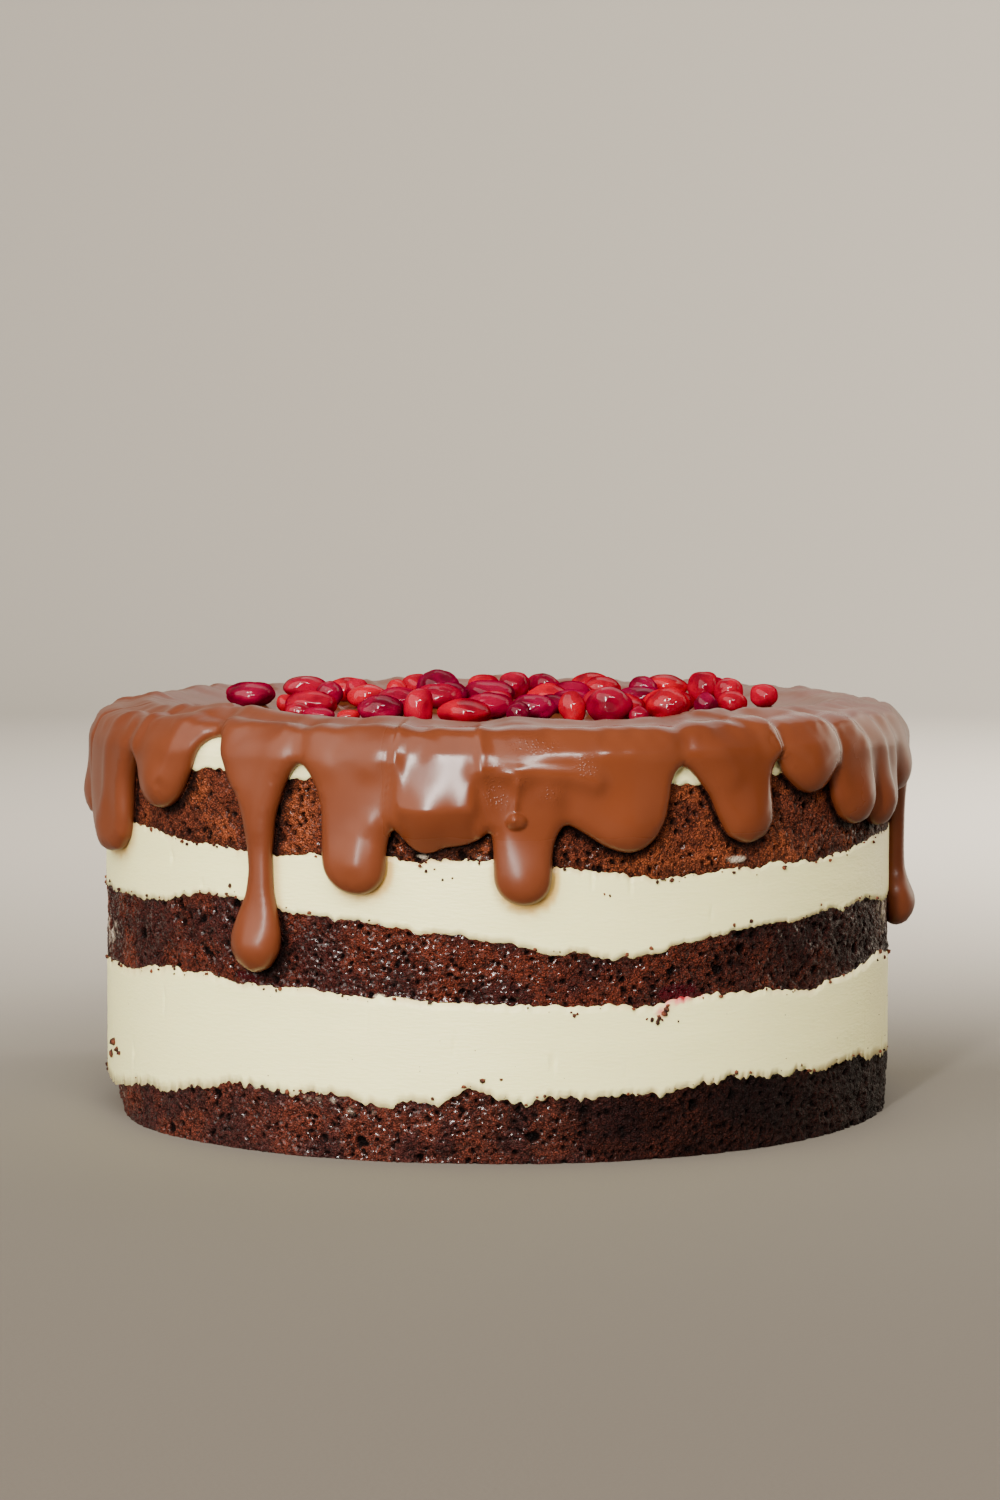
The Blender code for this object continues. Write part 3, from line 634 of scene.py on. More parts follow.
FRONT_ARCHES = (
    (-80.8, 77.0), (-59.0, 92.0), (-42.0, 97.4), (-26.8, 92.3), (-13.4, 77.8), (-0.9, 77.4), (9.0, 78.8),
    (24.8, 91.7), (40.3, 92.7), (51.5, 88.6), (61.9, 82.5), (71.3, 85.0), (80.8, 82.5))
# The uneven edges of some drips, from arch to arch, as angle and height, by the number of the drip
TRACED_EDGES = {
    1: ((-79.5, 74.0), (-77.6, 70.4), (-73.5, 67.3), (-69.0, 66.4), (-65.2, 67.3), (-62.7, 70.8), (-62.0, 76),
        (-61.9, 81), (-61.4, 85.5), (-60.4, 89.5)),
    2: ((-57.7, 90.6), (-57.0, 86.4), (-55.8, 82.4), (-54.2, 80.1), (-52.1, 79.2), (-50.2, 79.8),
        (-48.4, 82.2), (-47.1, 85.6), (-46.2, 88.2), (-45.4, 91.4), (-44.6, 93.9), (-43.5, 96.0)),
    3: ((-40.0, 96.4), (-38.9, 92.0), (-38.0, 87.5), (-36.5, 83.3), (-35.6, 78.5), (-34.9, 72),
        (-34.6, 66.5), (-35.1, 61), (-36.3, 56.5), (-37.3, 51.6), (-37.2, 47.8), (-35.9, 44.3),
        (-33.6, 42.4), (-31.5, 43.8), (-30.1, 47.4), (-29.8, 51.5), (-30.3, 56), (-31.1, 62), (-31.3, 70),
        (-30.7, 79), (-29.3, 86), (-28.1, 90)),
    5: ((-12.7, 75.7), (-11.8, 73.7), (-10.5, 72.0), (-9.4, 71.6), (-8.2, 72.1), (-7.0, 73.2), (-4.9, 73.6),
        (-3.3, 74.3), (-1.9, 75.7)),
    7: ((10.3, 77.6), (12.2, 75.5), (13.9, 73.5), (15.6, 72.3), (17.3, 71.7), (19.1, 72.4), (21.0, 75.0),
        (22.4, 79.2), (23.0, 84.4), (23.3, 88.6)),
    8: ((26.1, 90.4), (27.5, 87.7), (29.2, 84.0), (30.4, 79.2), (32.0, 74.5), (34.8, 72.5), (37.7, 74.2),
        (39.3, 78.3), (39.0, 83.0), (38.8, 87.7), (39.3, 91.2)),
    9: ((41.0, 90.9), (41.5, 88.7), (42.9, 86.4), (44.5, 84.3), (46.3, 83.2), (48.3, 83.8), (49.7, 85.6),
        (50.6, 87.3)),
    10: ((52.1, 85.0), (52.6, 81.0), (54.5, 76.6), (57.0, 74.7), (59.4, 75.1), (61.0, 77.2), (61.4, 80.3))}
# The back's drips are drawn at random within these limits, in degrees and mm, and every fourth is long
BACK_DRIPS = 13
BACK_SEED = 11
BACK_MARGIN = 1.4                       # how far an arch may stray from even steps
BACK_ARCH_HEIGHTS = (80, 92)
LONG_HALVES = (3.9, 4.6)                # half widths
LONG_TIPS = (44, 56)
LONG_PINCH = 1.8
SHORT_HALVES = (4.0, 6.0)
SHORT_TIPS = (64, 83)
LONG_EVERY = 4
ARCH_SHARE = 0.42                       # of a drip's height that its arch takes up
ARCH_POINT = 1.45                       # how far an arch departs from an ellipse towards a point
BEAD_START = 0.55                       # how far down its neck a drip starts to widen
# Ridges where streams of glaze met or overlap. Each runs through points given as angle and fall, which is
# how far down from the flat top the point lies in mm, and has a half width and a rise in mm. A lean of 1 or
# -1 makes the right or the left side of the ridge fall away slowly, as one stream's edge on another does.
FOLDS = (
    (((-12.9, -6), (-12.8, 2), (-13.2, 7), (-13.8, 14), (-14.2, 20)), 0.55, 0.75, 1),
    (((-3.0, -3), (-2.9, 5), (-3.1, 11), (-3.3, 16), (-3.9, 21)), 2.6, 0.26, 0),
    (((-2.4, -5), (-2.35, 4), (-2.1, 11), (-1.5, 16), (-0.6, 22)), 0.45, 0.5, 1),
    (((-1.8, 9.6), (2.5, 9.8), (6.2, 10.2), (9.3, 11.0), (12.4, 12.6)), 2.4, 1.1, 0),
    (((2.4, 10.6), (2.8, 12.2)), 2.2, 0.5, 0),
    (((2.5, 12.5), (2.2, 17), (2.0, 20.5)), 1.0, 0.75, 0),
    (((6.3, 14.2), (7.2, 15.2)), 2.4, 0.5, 0),
    (((10.6, 8.6), (12.2, 9.8)), 2.0, 0.3, 0),
    (((-15.2, 5.5), (-16.2, 9)), 3.0, 0.6, 0),
    (((-16.4, 22), (-18.0, 24.5), (-18.2, 31)), 2.6, 0.55, 0),
    (((-24.0, 3), (-22.5, 9)), 3.0, 0.5, 0),
    (((-29.0, 4), (-31.0, 12), (-32.8, 24)), 3.2, 0.5, 0),
    (((-41.0, -2), (-38.5, 6), (-36.5, 14)), 1.4, 0.6, 1),
    (((-46.0, -4), (-47.5, 5), (-49.5, 13)), 2.0, 0.9, -1),
    (((-56.0, -5), (-57.0, 6), (-60.0, 18)), 1.8, 0.8, -1),
    (((-63.0, -5), (-66.0, 8), (-67.5, 22)), 3.0, 0.6, 0),
    (((-74.0, -5), (-77.0, 8), (-79.0, 18)), 1.2, -0.7, 0),
    (((24.0, -4), (28.5, 3), (31.5, 12)), 3.0, 0.5, 0),
    (((36.0, -5), (39.0, 2), (40.0, 7)), 0.9, 0.8, -1),
    (((31.0, -5), (34.0, -1), (37.5, 4)), 1.2, 0.7, 1),
    (((43.0, -6), (47.5, -1), (51.0, 5), (51.3, 11)), 1.3, 1.0, -1),
    (((52.5, -6), (55.5, 0), (58.5, 8), (60.0, 19)), 1.4, 1.0, -1),
    (((58.0, -6), (61.5, 0), (64.5, 9), (66.0, 19)), 1.3, 1.0, -1),
    (((64.0, -6), (67.0, 1), (69.0, 12), (69.3, 20)), 1.2, 1.0, -1),
    (((70.0, -6), (73.5, 1), (76.0, 9), (77.5, 15)), 1.4, 0.9, -1),
    (((79.5, -5), (83.0, 4), (85.0, 14)), 1.6, 0.8, -1))
FOLD_SPAN = 24                          # degrees from where a fold starts, past which it has no part
LEAN_WIDTH = 4.0                        # how many times wider a fold is on the side that it leans to
BACK_FOLD_FALLS = (-5, 3, 13)
# A drop that has run down: angle, height, half width, half height, rise
DROPLET = (2.4, 79.6, 2.3, 2.0, 1.6)
DROPLET_REACH = 4.5 * MM                # finer points lie as near it as this
DROPLET_SPACING = 0.33 * MM
# A sheet that swells as it comes down and then turns back: left and right angle, the falls where it starts to
# swell and where it turns, and the slopes above and below that line
PANEL = (-12.7, -2.7, 6.5, 18.6, 0.09, 0.55)
# Bubbles left in the glaze: angle, fall, half width in degrees, half height in mm, strength
FROTH = (
    (-0.4, 14.0, 1.1, 3.4, 1.0), (6.9, 14.8, 1.3, 1.8, 0.8), (11.3, 9.2, 1.1, 1.6, 0.8),
    (5.0, 5.2, 2.6, 0.9, 0.5), (3.4, 12.0, 0.9, 1.2, 0.6))
CREST = (75, 89, 102)                   # mm out where the top starts to rise, is highest, and is level again
CREST_RISE = 3.0                        # mm that the spatula drew the glaze up round the berries
# How high the crest stands at the front: angle and rise in mm
CREST_HEIGHTS = (
    (-62, CREST_RISE), (-46, 4.1), (-42, 4.3), (-38, 4.1), (-34, 3.6), (-30, 3.1), (-26, 2.8), (-20, 2.9),
    (-16, 3.2), (-13.5, 2.8), (-12, 2.4), (-9, 2.7), (-4.5, 1.9), (-2.2, 1.7), (0, 2.5), (2.2, 3.1),
    (3.7, 3.1), (6, 2.7), (9, 2.6), (12, 2.2), (15, 2.1), (18, 2.3), (21, 2.4), (24.5, 2.5), (28, 2.8),
    (31, 3.3), (35, 3.5), (38, 3.3), (46, 3.2), (58, CREST_RISE))
# Humps where streams ran over the border: angle, half width in degrees, height in mm
RIM_HUMPS = ((-13.0, 3.4, 0.4), (3.2, 2.2, 0.5), (16, 5, 0.3), (-24, 5, 0.4), (31, 5, 0.4))
WAVE_LENGTH = 7.5                       # mm between the level waves that the spatula left
# The glaze thins over each arch: depth, half width and height, and the run in mm over which that comes in
ARCH_GROOVE = (0.7 * MM, 2.6 * MM, 9 * MM)
GROOVE_START = (86, 97)
EDGE_THINNING = (0.18, 3 * MM)          # how much thinner the glaze is at its edge, and over what distance
# A fillet of glaze round each berry: rise, reach, how much of the berry's half width sits in it, and the run
# beyond which there is none
FILLET = (0.9 * MM, 1.1 * MM, 0.62, 90 * MM)


def glaze_edges():
    """Every drip and every arch right round the cake: the front's own, then the back's, hung by rule."""
    draw = random.Random(BACK_SEED)
    drips, arches = list(FRONT_DRIPS), list(FRONT_ARCHES)
    start = FRONT_DRIPS[-1][3] + BACK_MARGIN
    end = FRONT_DRIPS[0][2] - BACK_MARGIN + 360
    pitch = (end - start) / BACK_DRIPS
    arches.append((start, draw.uniform(*BACK_ARCH_HEIGHTS)))
    for number in range(1, BACK_DRIPS + 1):
        left = arches[-1][0]
        right = start + pitch * number
        if number < BACK_DRIPS:
            right += draw.uniform(-BACK_MARGIN, BACK_MARGIN)
        is_long = number % LONG_EVERY == LONG_EVERY - 1
        half = min(draw.uniform(*(LONG_HALVES if is_long else SHORT_HALVES)), (right - left) / 2 - 1)
        middle = (left + right) / 2
        tip = draw.uniform(*(LONG_TIPS if is_long else SHORT_TIPS))
        drips.append((middle, tip, middle - half, middle + half, LONG_PINCH if is_long else 0.0))
        arches.append((right, draw.uniform(*BACK_ARCH_HEIGHTS)))
    return drips, arches


def side_of_drip(arch, side, drip):
    """One side of a drip from the arch to the tip, in degrees and mm: a quarter ellipse, drawn towards a
    point, a run that pinches in and widens again, and a quarter ellipse under the bead."""
    tip_angle, tip_height, _, _, pinch = drip
    arch_angle, arch_height = arch
    drop = arch_height - tip_height
    upper = ARCH_SHARE * drop
    half_width = abs(side - tip_angle) * math.radians(1) * GLAZE_RADIUS / MM
    lower = min(half_width * (1.25 if pinch else 0.95), drop - upper)
    run = drop - upper - lower
    if run < 1.0:
        lower, run = drop - upper, 0.0
    neck = side + math.copysign(pinch, tip_angle - side)
    quarter = np.linspace(0, math.pi / 2, 16)
    share = np.linspace(0, 1, 24)[1:-1]
    widen = np.clip((share - BEAD_START) / (1 - BEAD_START), 0, 1)
    angles = np.concatenate([
        arch_angle + (neck - arch_angle) * np.sin(quarter) ** ARCH_POINT,
        neck + (side - neck) * widen ** 2 * (3 - 2 * widen),
        tip_angle + (side - tip_angle) * np.cos(quarter)])
    heights = np.concatenate([
        arch_height - upper * (1 - np.cos(quarter)),
        arch_height - upper - run * share,
        tip_height + lower * (1 - np.sin(quarter))])
    return np.stack([angles, heights], 1)


def run_down(height):
    """How far along the glaze's inner face a height lies: out over the top, round the edge, and down."""
    below = GLAZE_TOP - GLAZE_EDGE_RADIUS - height
    turn = np.arccos(np.clip(-below / GLAZE_EDGE_RADIUS, 0, 1))
    bend = np.where(below > 0, GLAZE_EDGE_RADIUS * math.pi / 2 + below, GLAZE_EDGE_RADIUS * turn)
    return FLAT_RUN + bend


def flattened(degrees, run):
    """The glaze's sheet laid out flat: a disc whose radius is the run from the middle."""
    turn = np.radians(degrees)
    return np.stack([run * np.sin(turn), -run * np.cos(turn)], -1)


def unflattened(points):
    """The angle and the run of each point in the flattened sheet."""
    return np.degrees(np.arctan2(points[:, 0], -points[:, 1])), np.linalg.norm(points, axis=1)


def even_steps(loop, spacing):
    """Points at even spacing round a closed loop."""
    ring = np.concatenate([loop, loop[:1]])
    length = np.concatenate([[0], np.cumsum(np.linalg.norm(np.diff(ring, axis=0), axis=1))])
    steps = np.arange(0, length[-1], spacing)
    return np.stack([np.interp(steps, length, ring[:, axis]) for axis in (0, 1)], 1)


def glaze_outline():
    """The glaze's edge in the flattened sheet, evened out and softened by averaging neighbours."""
    drips, arches = glaze_edges()
    sides = []
    for i, drip in enumerate(drips):
        arch_before = arches[i - 1] if i > 0 else (arches[-1][0] - 360, arches[-1][1])
        if i in TRACED_EDGES:
            sides.append(np.array((arch_before, *TRACED_EDGES[i])))
            continue
        sides.append(side_of_drip(arch_before, drip[2], drip))
        sides.append(side_of_drip(arches[i], drip[3], drip)[::-1][1:-1])
    edge = np.concatenate(sides)
    loop = even_steps(flattened(edge[:, 0], run_down(edge[:, 1] * MM)), LIP_SPACING)
    for _ in range(LIP_SOFTENING):
        loop = (np.roll(loop, 1, 0) + 2 * loop + np.roll(loop, -1, 0)) / 4
    return even_steps(loop, LIP_SPACING)


def reach_inside(degrees, run, edge_degrees, edge_run):
    """Smooth distance in from the edge: the inverse cube root of the sum of length over distance to the
    fourth. With it comes the way in, round the cake and down it, which shrinks to nothing half way between
    two edges. The sums are taken in slices, each with the edge beside it."""
    slices = 40
    reach, way = np.zeros(len(run)), np.zeros((len(run), 2))
    arc, edge_arc = np.radians(degrees) * GLAZE_RADIUS, np.radians(edge_degrees) * GLAZE_RADIUS
    lap = 2 * math.pi * GLAZE_RADIUS
    span = lap / slices
    for middle in (np.arange(slices) - (slices - 1) / 2) * span:
        near = np.abs(arc - middle) <= span / 2 + 1e-9
        aside = (edge_arc - middle + lap / 2) % lap - lap / 2
        close = np.abs(aside) < span
        gap = (arc[near] - middle)[:, None] - aside[close]
        drop = run[near][:, None] - edge_run[close]
        square = gap ** 2 + drop ** 2 + 1e-12
        total = np.sum(LIP_SPACING / square ** 2, axis=1)
        reach[near] = np.cbrt(math.pi / 2 / total)
        pull = LIP_SPACING / square ** 3
        way[near] = np.stack([np.sum(pull * gap, axis=1), np.sum(pull * drop, axis=1)], 1)
        way[near] /= total[:, None]
    return reach, way * 4 / 3 * reach[:, None]


def is_inside(points, loop):
    """Even-odd test of many points against a closed loop, in slices by angle."""
    degrees, run = unflattened(points)
    loop_degrees, _ = unflattened(loop)
    inside = np.zeros(len(points), bool)
    a, b = loop, np.roll(loop, -1, axis=0)
    width = 10
    for low in range(-180, 180, width):
        near = (degrees >= low) & (degrees < low + width)
        close = np.abs(wrapped(loop_degrees - low - width / 2)) < 0.9 * width
        # a ray from each point straight out from the middle crosses the edge an odd number of times
        outward = points[near] / np.maximum(run[near], 1e-9)[:, None]
        across = np.stack([-outward[:, 1], outward[:, 0]], 1)
        side_a, side_b = a[close] @ across.T, b[close] @ across.T
        along_a, along_b = a[close] @ outward.T, b[close] @ outward.T
        crosses = (side_a > 0) != (side_b > 0)
        share = side_a / np.where(crosses, side_a - side_b, 1)
        crossing = along_a + share * (along_b - along_a) > run[near]
        inside[near] = np.sum(crosses & crossing, axis=0) % 2 == 1
    return inside


def sheet_points(outline, spacing, top_spacing, margin):
    """Staggered rings of points that fill the flattened outline, closer together down the side."""
    radii = np.concatenate([
        np.arange(0, FLAT_RUN, top_spacing),
        np.arange(FLAT_RUN, np.linalg.norm(outline, axis=1).max(), spacing)])
    rings = []
    for number, radius in enumerate(radii):
        gap = top_spacing if radius < FLAT_RUN else spacing
        count = max(1, round(2 * math.pi * min(radius, GLAZE_RADIUS) / gap))
        rings.append(flattened((np.arange(count) + number % 2 / 2) * 360 / count, np.full(count, radius)))
    points = np.concatenate(rings)
    points = points[is_inside(points, outline)]
    degrees, run = unflattened(points)
    return points[reach_inside(degrees, run, *unflattened(outline))[0] > margin]


def fill(outline, points):
    """Triangles over the outline and the points inside it, and none outside it."""
    both = np.concatenate([outline, points])
    inside_only, nearest = 1, 1e-5
    edge = list(range(len(outline)))
    faces = delaunay_2d_cdt((both / MM).tolist(), [], [edge], inside_only, nearest)[2]
    return both, np.array(faces)


def fold(degrees, fall, path, half_width, rise, lean):
    """A bell curve of the distance to a bent line, wider on the side that it leans to."""
    near = np.abs(wrapped(degrees - path[0][0])) < FOLD_SPAN
    turn, drop = wrapped(degrees[near] - path[0][0]), fall[near]
    scale = np.array((math.radians(GLAZE_RADIUS) / MM, 1))
    points = np.stack([turn, drop], -1) * scale
    knots = (np.array(path) - (path[0][0], 0)) * scale
    distance = np.full(len(points), 1e3)
    side = np.zeros(len(points))
    for start, end in zip(knots, knots[1:]):
        step = end - start
        share = np.clip((points - start) @ step / (step @ step), 0, 1)
        away = points - start - share[:, None] * step
        length = np.linalg.norm(away, axis=1)
        closer = length < distance
        distance = np.where(closer, length, distance)
        side = np.where(closer, np.sign(away[:, 0] * step[1] - away[:, 1] * step[0]), side)
    width = half_width * np.where(side * lean > 0, LEAN_WIDTH, 1.0)
    relief = np.zeros(len(degrees))
    relief[near] = rise * np.exp(-(distance / width) ** 2)
    return relief


def fall_at(run):
    """How far down from the flat top, in mm along the sheet, a run lies."""
    return run / MM - FLAT_RUN / MM


def glaze_relief(degrees, run):
    """Every fold of the front, one fold on each stream of the back, the tucked sheet and the stray drop, in
    mm. The tucked sheet follows softened corners, ln(1 + e to the distance past a line), where it swells and
    turns."""
    fall = fall_at(run)
    relief = sum(fold(degrees, fall, *spec) for spec in FOLDS)
    for number, (tip, _, left, right, _) in enumerate(glaze_edges()[0][len(FRONT_DRIPS):]):
        lean = number % 3 - 1
        start = (left if lean > 0 else right) + 2 * lean
        path = tuple(zip((start, (start + tip) / 2, tip), BACK_FOLD_FALLS))
        relief += fold(degrees, fall, path, 1.6 + 0.4 * (number % 4), 0.8, lean)
    left, right, start, line, out, back = PANEL
    across = fade(degrees, left - 0.6, left + 0.6) * fade(degrees, right + 0.6, right - 0.6)
    swell = out * np.logaddexp(0, 2 * (fall - start)) / 2
    relief += across * (swell - (out + back) * np.logaddexp(0, 3 * (fall - line)) / 3)
    angle, level, half_width, half_height, rise = DROPLET
    aside = np.radians(degrees - angle) * GLAZE_RADIUS / MM / half_width
    above = (fall - fall_at(run_down(level * MM))) / half_height
    return relief + rise * np.sqrt(fade(np.hypot(aside, above), 1.1, 0.2))


def rim_relief(degrees, run):
    """The top's border in mm: a crest that slopes down to the edge, level waves left by the spatula, humps
    where streams ran over, and a scalloped line where the slope breaks."""
    fall = fall_at(run)
    turn = np.radians(degrees)
    around = np.stack([np.sin(turn), np.cos(turn), 0 * turn], -1) * GLAZE_RADIUS
    rise = np.interp(degrees, *np.array(CREST_HEIGHTS).T)
    rise += 0.9 * noise(around / (12 * MM), 98) * fade(np.abs(degrees), 46, 60)
    rise += 0.2 * noise(around / (3.5 * MM), 96)
    start, top, end = CREST
    crest = rise * fade(run / MM, start, top) * fade(run / MM, end, top)
    wander = 3.0 * noise(around / (24 * MM), 99) + 1.2 * noise(around / (9 * MM), 92)
    waves = np.sin((fall + wander) * 2 * math.pi / WAVE_LENGTH)
    waves += 0.6 * noise(around / (7 * MM) + [0, 0, 5], 94)
    waves *= 0.22 * fade(run / MM, top - 12, top - 2) * fade(fall, 3, 0)
    hump = 0.15 * noise(around / (4.3 * MM), 93)
    for angle, half_angle, height in RIM_HUMPS:
        hump += height * np.exp(-(wrapped(degrees - angle) / half_angle) ** 2)
    hump *= np.exp(-((fall + 1.6) / 2.6) ** 2)
    scallop = fall - 1.4 * noise(around / (6.5 * MM), 97) - 0.5 * noise(around / (2.8 * MM), 95)
    shoulder = 0.42 * np.exp(-((scallop - 2.6) / 1.2) ** 2) - 0.30 * np.exp(-((scallop - 5.2) / 1.5) ** 2)
    return crest + waves + hump + shoulder


berry_names = sorted(name for name in frame["nodes"] if name.startswith("berry"))
berry_boxes = {name: np.array(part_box(name)) for name in berry_names}
outline = glaze_outline()
edge_degrees, edge_run = unflattened(outline)
ahead = wrapped(np.roll(edge_degrees, -1) - np.roll(edge_degrees, 1))
along = np.stack([np.radians(ahead) * GLAZE_RADIUS, np.roll(edge_run, -1) - np.roll(edge_run, 1)], 1)
inward = np.stack([along[:, 1], -along[:, 0]], 1) / np.linalg.norm(along, axis=1)[:, None]
# Rows of points that follow the edge, then the field inside them, then finer points round the stray drop
rows, row_reach, row_way = [outline], [np.zeros(len(outline))], [inward]
for depth in np.array(LIP_DEPTHS) * MM:
    row_degrees = edge_degrees + np.degrees(inward[:, 0] * depth / GLAZE_RADIUS)
    row = flattened(row_degrees, edge_run + inward[:, 1] * depth)
    near_reach, _ = reach_inside(*unflattened(row), edge_degrees, edge_run)
    kept = is_inside(row, outline) & (near_reach > 0.75 * depth)
    rows.append(row[kept])
    row_reach.append(np.full(kept.sum(), depth))
    row_way.append(inward[kept])
drop_point = flattened(DROPLET[0], run_down(DROPLET[1] * MM))
field = sheet_points(outline, CURTAIN_SPACING, TOP_SPACING, FIELD_MARGIN)
field = field[np.linalg.norm(field - drop_point, axis=1) > DROPLET_REACH]
steps = np.arange(-DROPLET_REACH, DROPLET_REACH, DROPLET_SPACING)
patch = np.stack(np.meshgrid(steps, steps), -1).reshape(-1, 2)
patch = patch[np.linalg.norm(patch, axis=1) < DROPLET_REACH - 0.3 * MM] + drop_point
rows = np.concatenate(rows)
sheet, outer_faces = fill(outline, np.concatenate([rows[len(outline):], field, patch]))
lining, inner_faces = fill(
    outline, sheet_points(outline, LINING_SPACING, LINING_TOP_SPACING, LINING_MARGIN))


def sunk_frame(run):
    """Radius, height and outward direction of the inner face, sunk to where the glaze sticks to the cake."""
    turn = np.clip((run - FLAT_RUN) / GLAZE_EDGE_RADIUS, 0, math.pi / 2)
    below = np.maximum(run - FLAT_RUN - GLAZE_EDGE_RADIUS * math.pi / 2, 0)
    bend = GLAZE_EDGE_RADIUS - STICK
    radius = np.minimum(run, FLAT_RUN) + bend * np.sin(turn)
    height = GLAZE_TOP - STICK - bend * (1 - np.cos(turn)) - below
    return radius, height, np.sin(turn), np.cos(turn)


degrees, run = unflattened(sheet)
reach, way = reach_inside(degrees, run, edge_degrees, edge_run)
reach[:len(rows)], way[:len(rows)] = np.concatenate(row_reach), np.concatenate(row_way)
# The lip is an arc that starts under itself: each point moves to where the arc's angle puts it
curl = (math.pi / 2 + LIP_CURL) * np.clip(reach / ROUND_OVER, 0, 1) - LIP_CURL
shift = np.where(reach < ROUND_OVER, ROUND_OVER * (1 - np.cos(curl)) - reach, 0)
degrees = degrees + np.degrees(shift * way[:, 0] / GLAZE_RADIUS)
run = run + shift * way[:, 1]
radius, height, out, up = sunk_frame(run)
place = on_cylinder(degrees, radius, height)
full = GLAZE_THICKNESS + STICK + (CURTAIN_THICKNESS - GLAZE_THICKNESS) * out
for tip_angle, tip_height, _, _, pinch in glaze_edges()[0]:
    aside = np.radians(wrapped(degrees - tip_angle)) * GLAZE_RADIUS
    above = height - tip_height * MM - BEAD_HALF_WIDTH
    bead = LONG_BEAD_THICKNESS if pinch else BEAD_THICKNESS
    full += bead * np.exp(-(aside ** 2 + above ** 2) / BEAD_HALF_WIDTH ** 2)
deep, wide, tall = ARCH_GROOVE
for angle, level in glaze_edges()[1]:
    aside = np.radians(wrapped(degrees - angle)) * GLAZE_RADIUS
    above = np.maximum(height - level * MM, 0)
    groove = np.exp(-(aside / wide) ** 2 - (above / tall) ** 2)
    full -= deep * groove * fade(run / MM, *GROOVE_START)
full += (0.12 * noise(place / (9 * MM), 85) + glaze_relief(degrees, run) + rim_relief(degrees, run)) * MM
rise, slope, sinking_and_side_shade, last = FILLET
for low, high in berry_boxes.values():
    size = (high - low)[:2] / 2
    away = np.linalg.norm((place[:, :2] - (low + high)[:2] / 2) / size, axis=1) * size.mean()
    full += rise * np.exp(-np.maximum(away - sinking_and_side_shade * size.mean(), 0) / slope) * (run < last)
thinner, near_edge = EDGE_THINNING
full *= 1 - thinner * np.exp(-reach / near_edge)
thickness = full * (np.sin(curl) + math.sin(LIP_CURL)) / (1 + math.sin(LIP_CURL))
outer = on_cylinder(degrees, radius + out * thickness, height + up * thickness)
lining_degrees, lining_run = unflattened(lining)
lining_radius, lining_height, _, _ = sunk_frame(lining_run)
inner = on_cylinder(lining_degrees, lining_radius, lining_height)
lip = len(outline)
shift = np.where(np.arange(len(lining)) < lip, 0, len(sheet) - lip)
inner_faces = (np.arange(len(lining)) + shift)[inner_faces][:, ::-1]
froth = spread(FROTH, degrees, run - FLAT_RUN)
# The glaze has set duller on the top, towards the sides, left of the tucked sheet and at the tips
dull = np.max([
    fade(fall_at(run), 3, -3), fade(np.abs(degrees), 40, 75),
    0.75 * fade(degrees, -13, -16), 0.8 * fade(fall_at(run), 22, 28)], 0)
material, shade, principled = new_material("glaze", specular_ior_level=0.27)
bubbles = shade.cells(1500).step(0.45, 0.15) * shade.attribute("froth")
rough = 0.15 + shade.noise(120, 3) * 0.07 + shade.attribute("froth") * 0.1
wire(principled,
     base_color=shade.noise(45, 3).step(0.3, 0.7).blend(GLAZE_COLOUR, GLAZE_PALE),
     roughness=rough + shade.attribute("dull") * 0.2,
     normal=shade.bump(shade.noise(260, 3) * 0.15 + bubbles, 0.0004, 0.35))
bare = np.zeros(len(inner) - lip)
piece = add_mesh(
    "glaze_poured", np.concatenate([outer, inner[lip:]]), outer_faces.tolist() + inner_faces.tolist(),
    material, froth=np.append(froth, bare), dull=np.append(dull, bare))
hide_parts("ganache_glaze")
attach(piece, "root")


SHADE_REACH = (0.9, 1.7)                # mm that the shade reaches, and mm more where it falls
SHADE_WAY = (0.45, 0.9)                 # round the cake and down it: the shade falls to the lower right


def near_glaze(degrees, height):
    """1 at the glaze's edge and 0 far from it: a bell curve of the distance, widest on the side away from the
    light."""
    reach, way = reach_inside(degrees, run_down(height), edge_degrees, edge_run)
    far = (SHADE_REACH[0] + SHADE_REACH[1] * np.clip(way @ SHADE_WAY, 0, 1)) * MM
    return np.exp(-(reach / far) ** 2)


# Along the glaze's edge a painted shadow darkens the crumb and the cream, reaching furthest to the lower
# right, away from the light; the crumb there is also dark with fat, and the cream stained by it
for name in ("sponge_middle_crumb", "sponge_top_crumb", "cream_upper_scraped", "cream_cap_spread"):
    mesh = bpy.data.objects[name].data
    x, y, z = corners(mesh).T.astype(float)
    layer = mesh.attributes.new("shaded", "FLOAT", "POINT")
    layer.data.foreach_set("value", near_glaze(np.degrees(np.arctan2(x, -y)), z).astype(np.float32))


# The berries are thawed and wet: smooth slumped ovals, and clusters of drupelets. Each sits in the glaze
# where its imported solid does, at that solid's size.
BERRY_COLUMNS = {True: 72, False: 44}   # of a cluster and of an oval
BERRY_ROWS = {True: 40, False: 24}
CLUSTER_SWELL = 0.17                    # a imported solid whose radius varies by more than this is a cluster
DRUPELETS = 17
DRUPELET_REACH = 0.66                   # from a dome's middle to where it ends, as a share of the radius
GOLDEN_ANGLE = math.pi * (3 - math.sqrt(5))
RIPENESS_STEP = 2.4
SCARLET, WINE = np.array((0.39, 0.0, 0.010, 1)), np.array((0.17, 0.0, 0.022, 1))
DARK_SCARLET, DARK_WINE = np.array((0.15, 0.0, 0.007, 1)), np.array((0.07, 0.0, 0.007, 1))
BERRY_GLOW = (0.004, 0.0008, 0.0006)
LIT_SIDE = (-0.10, -0.93, 0.35)         # the way that a berry's wettest side faces


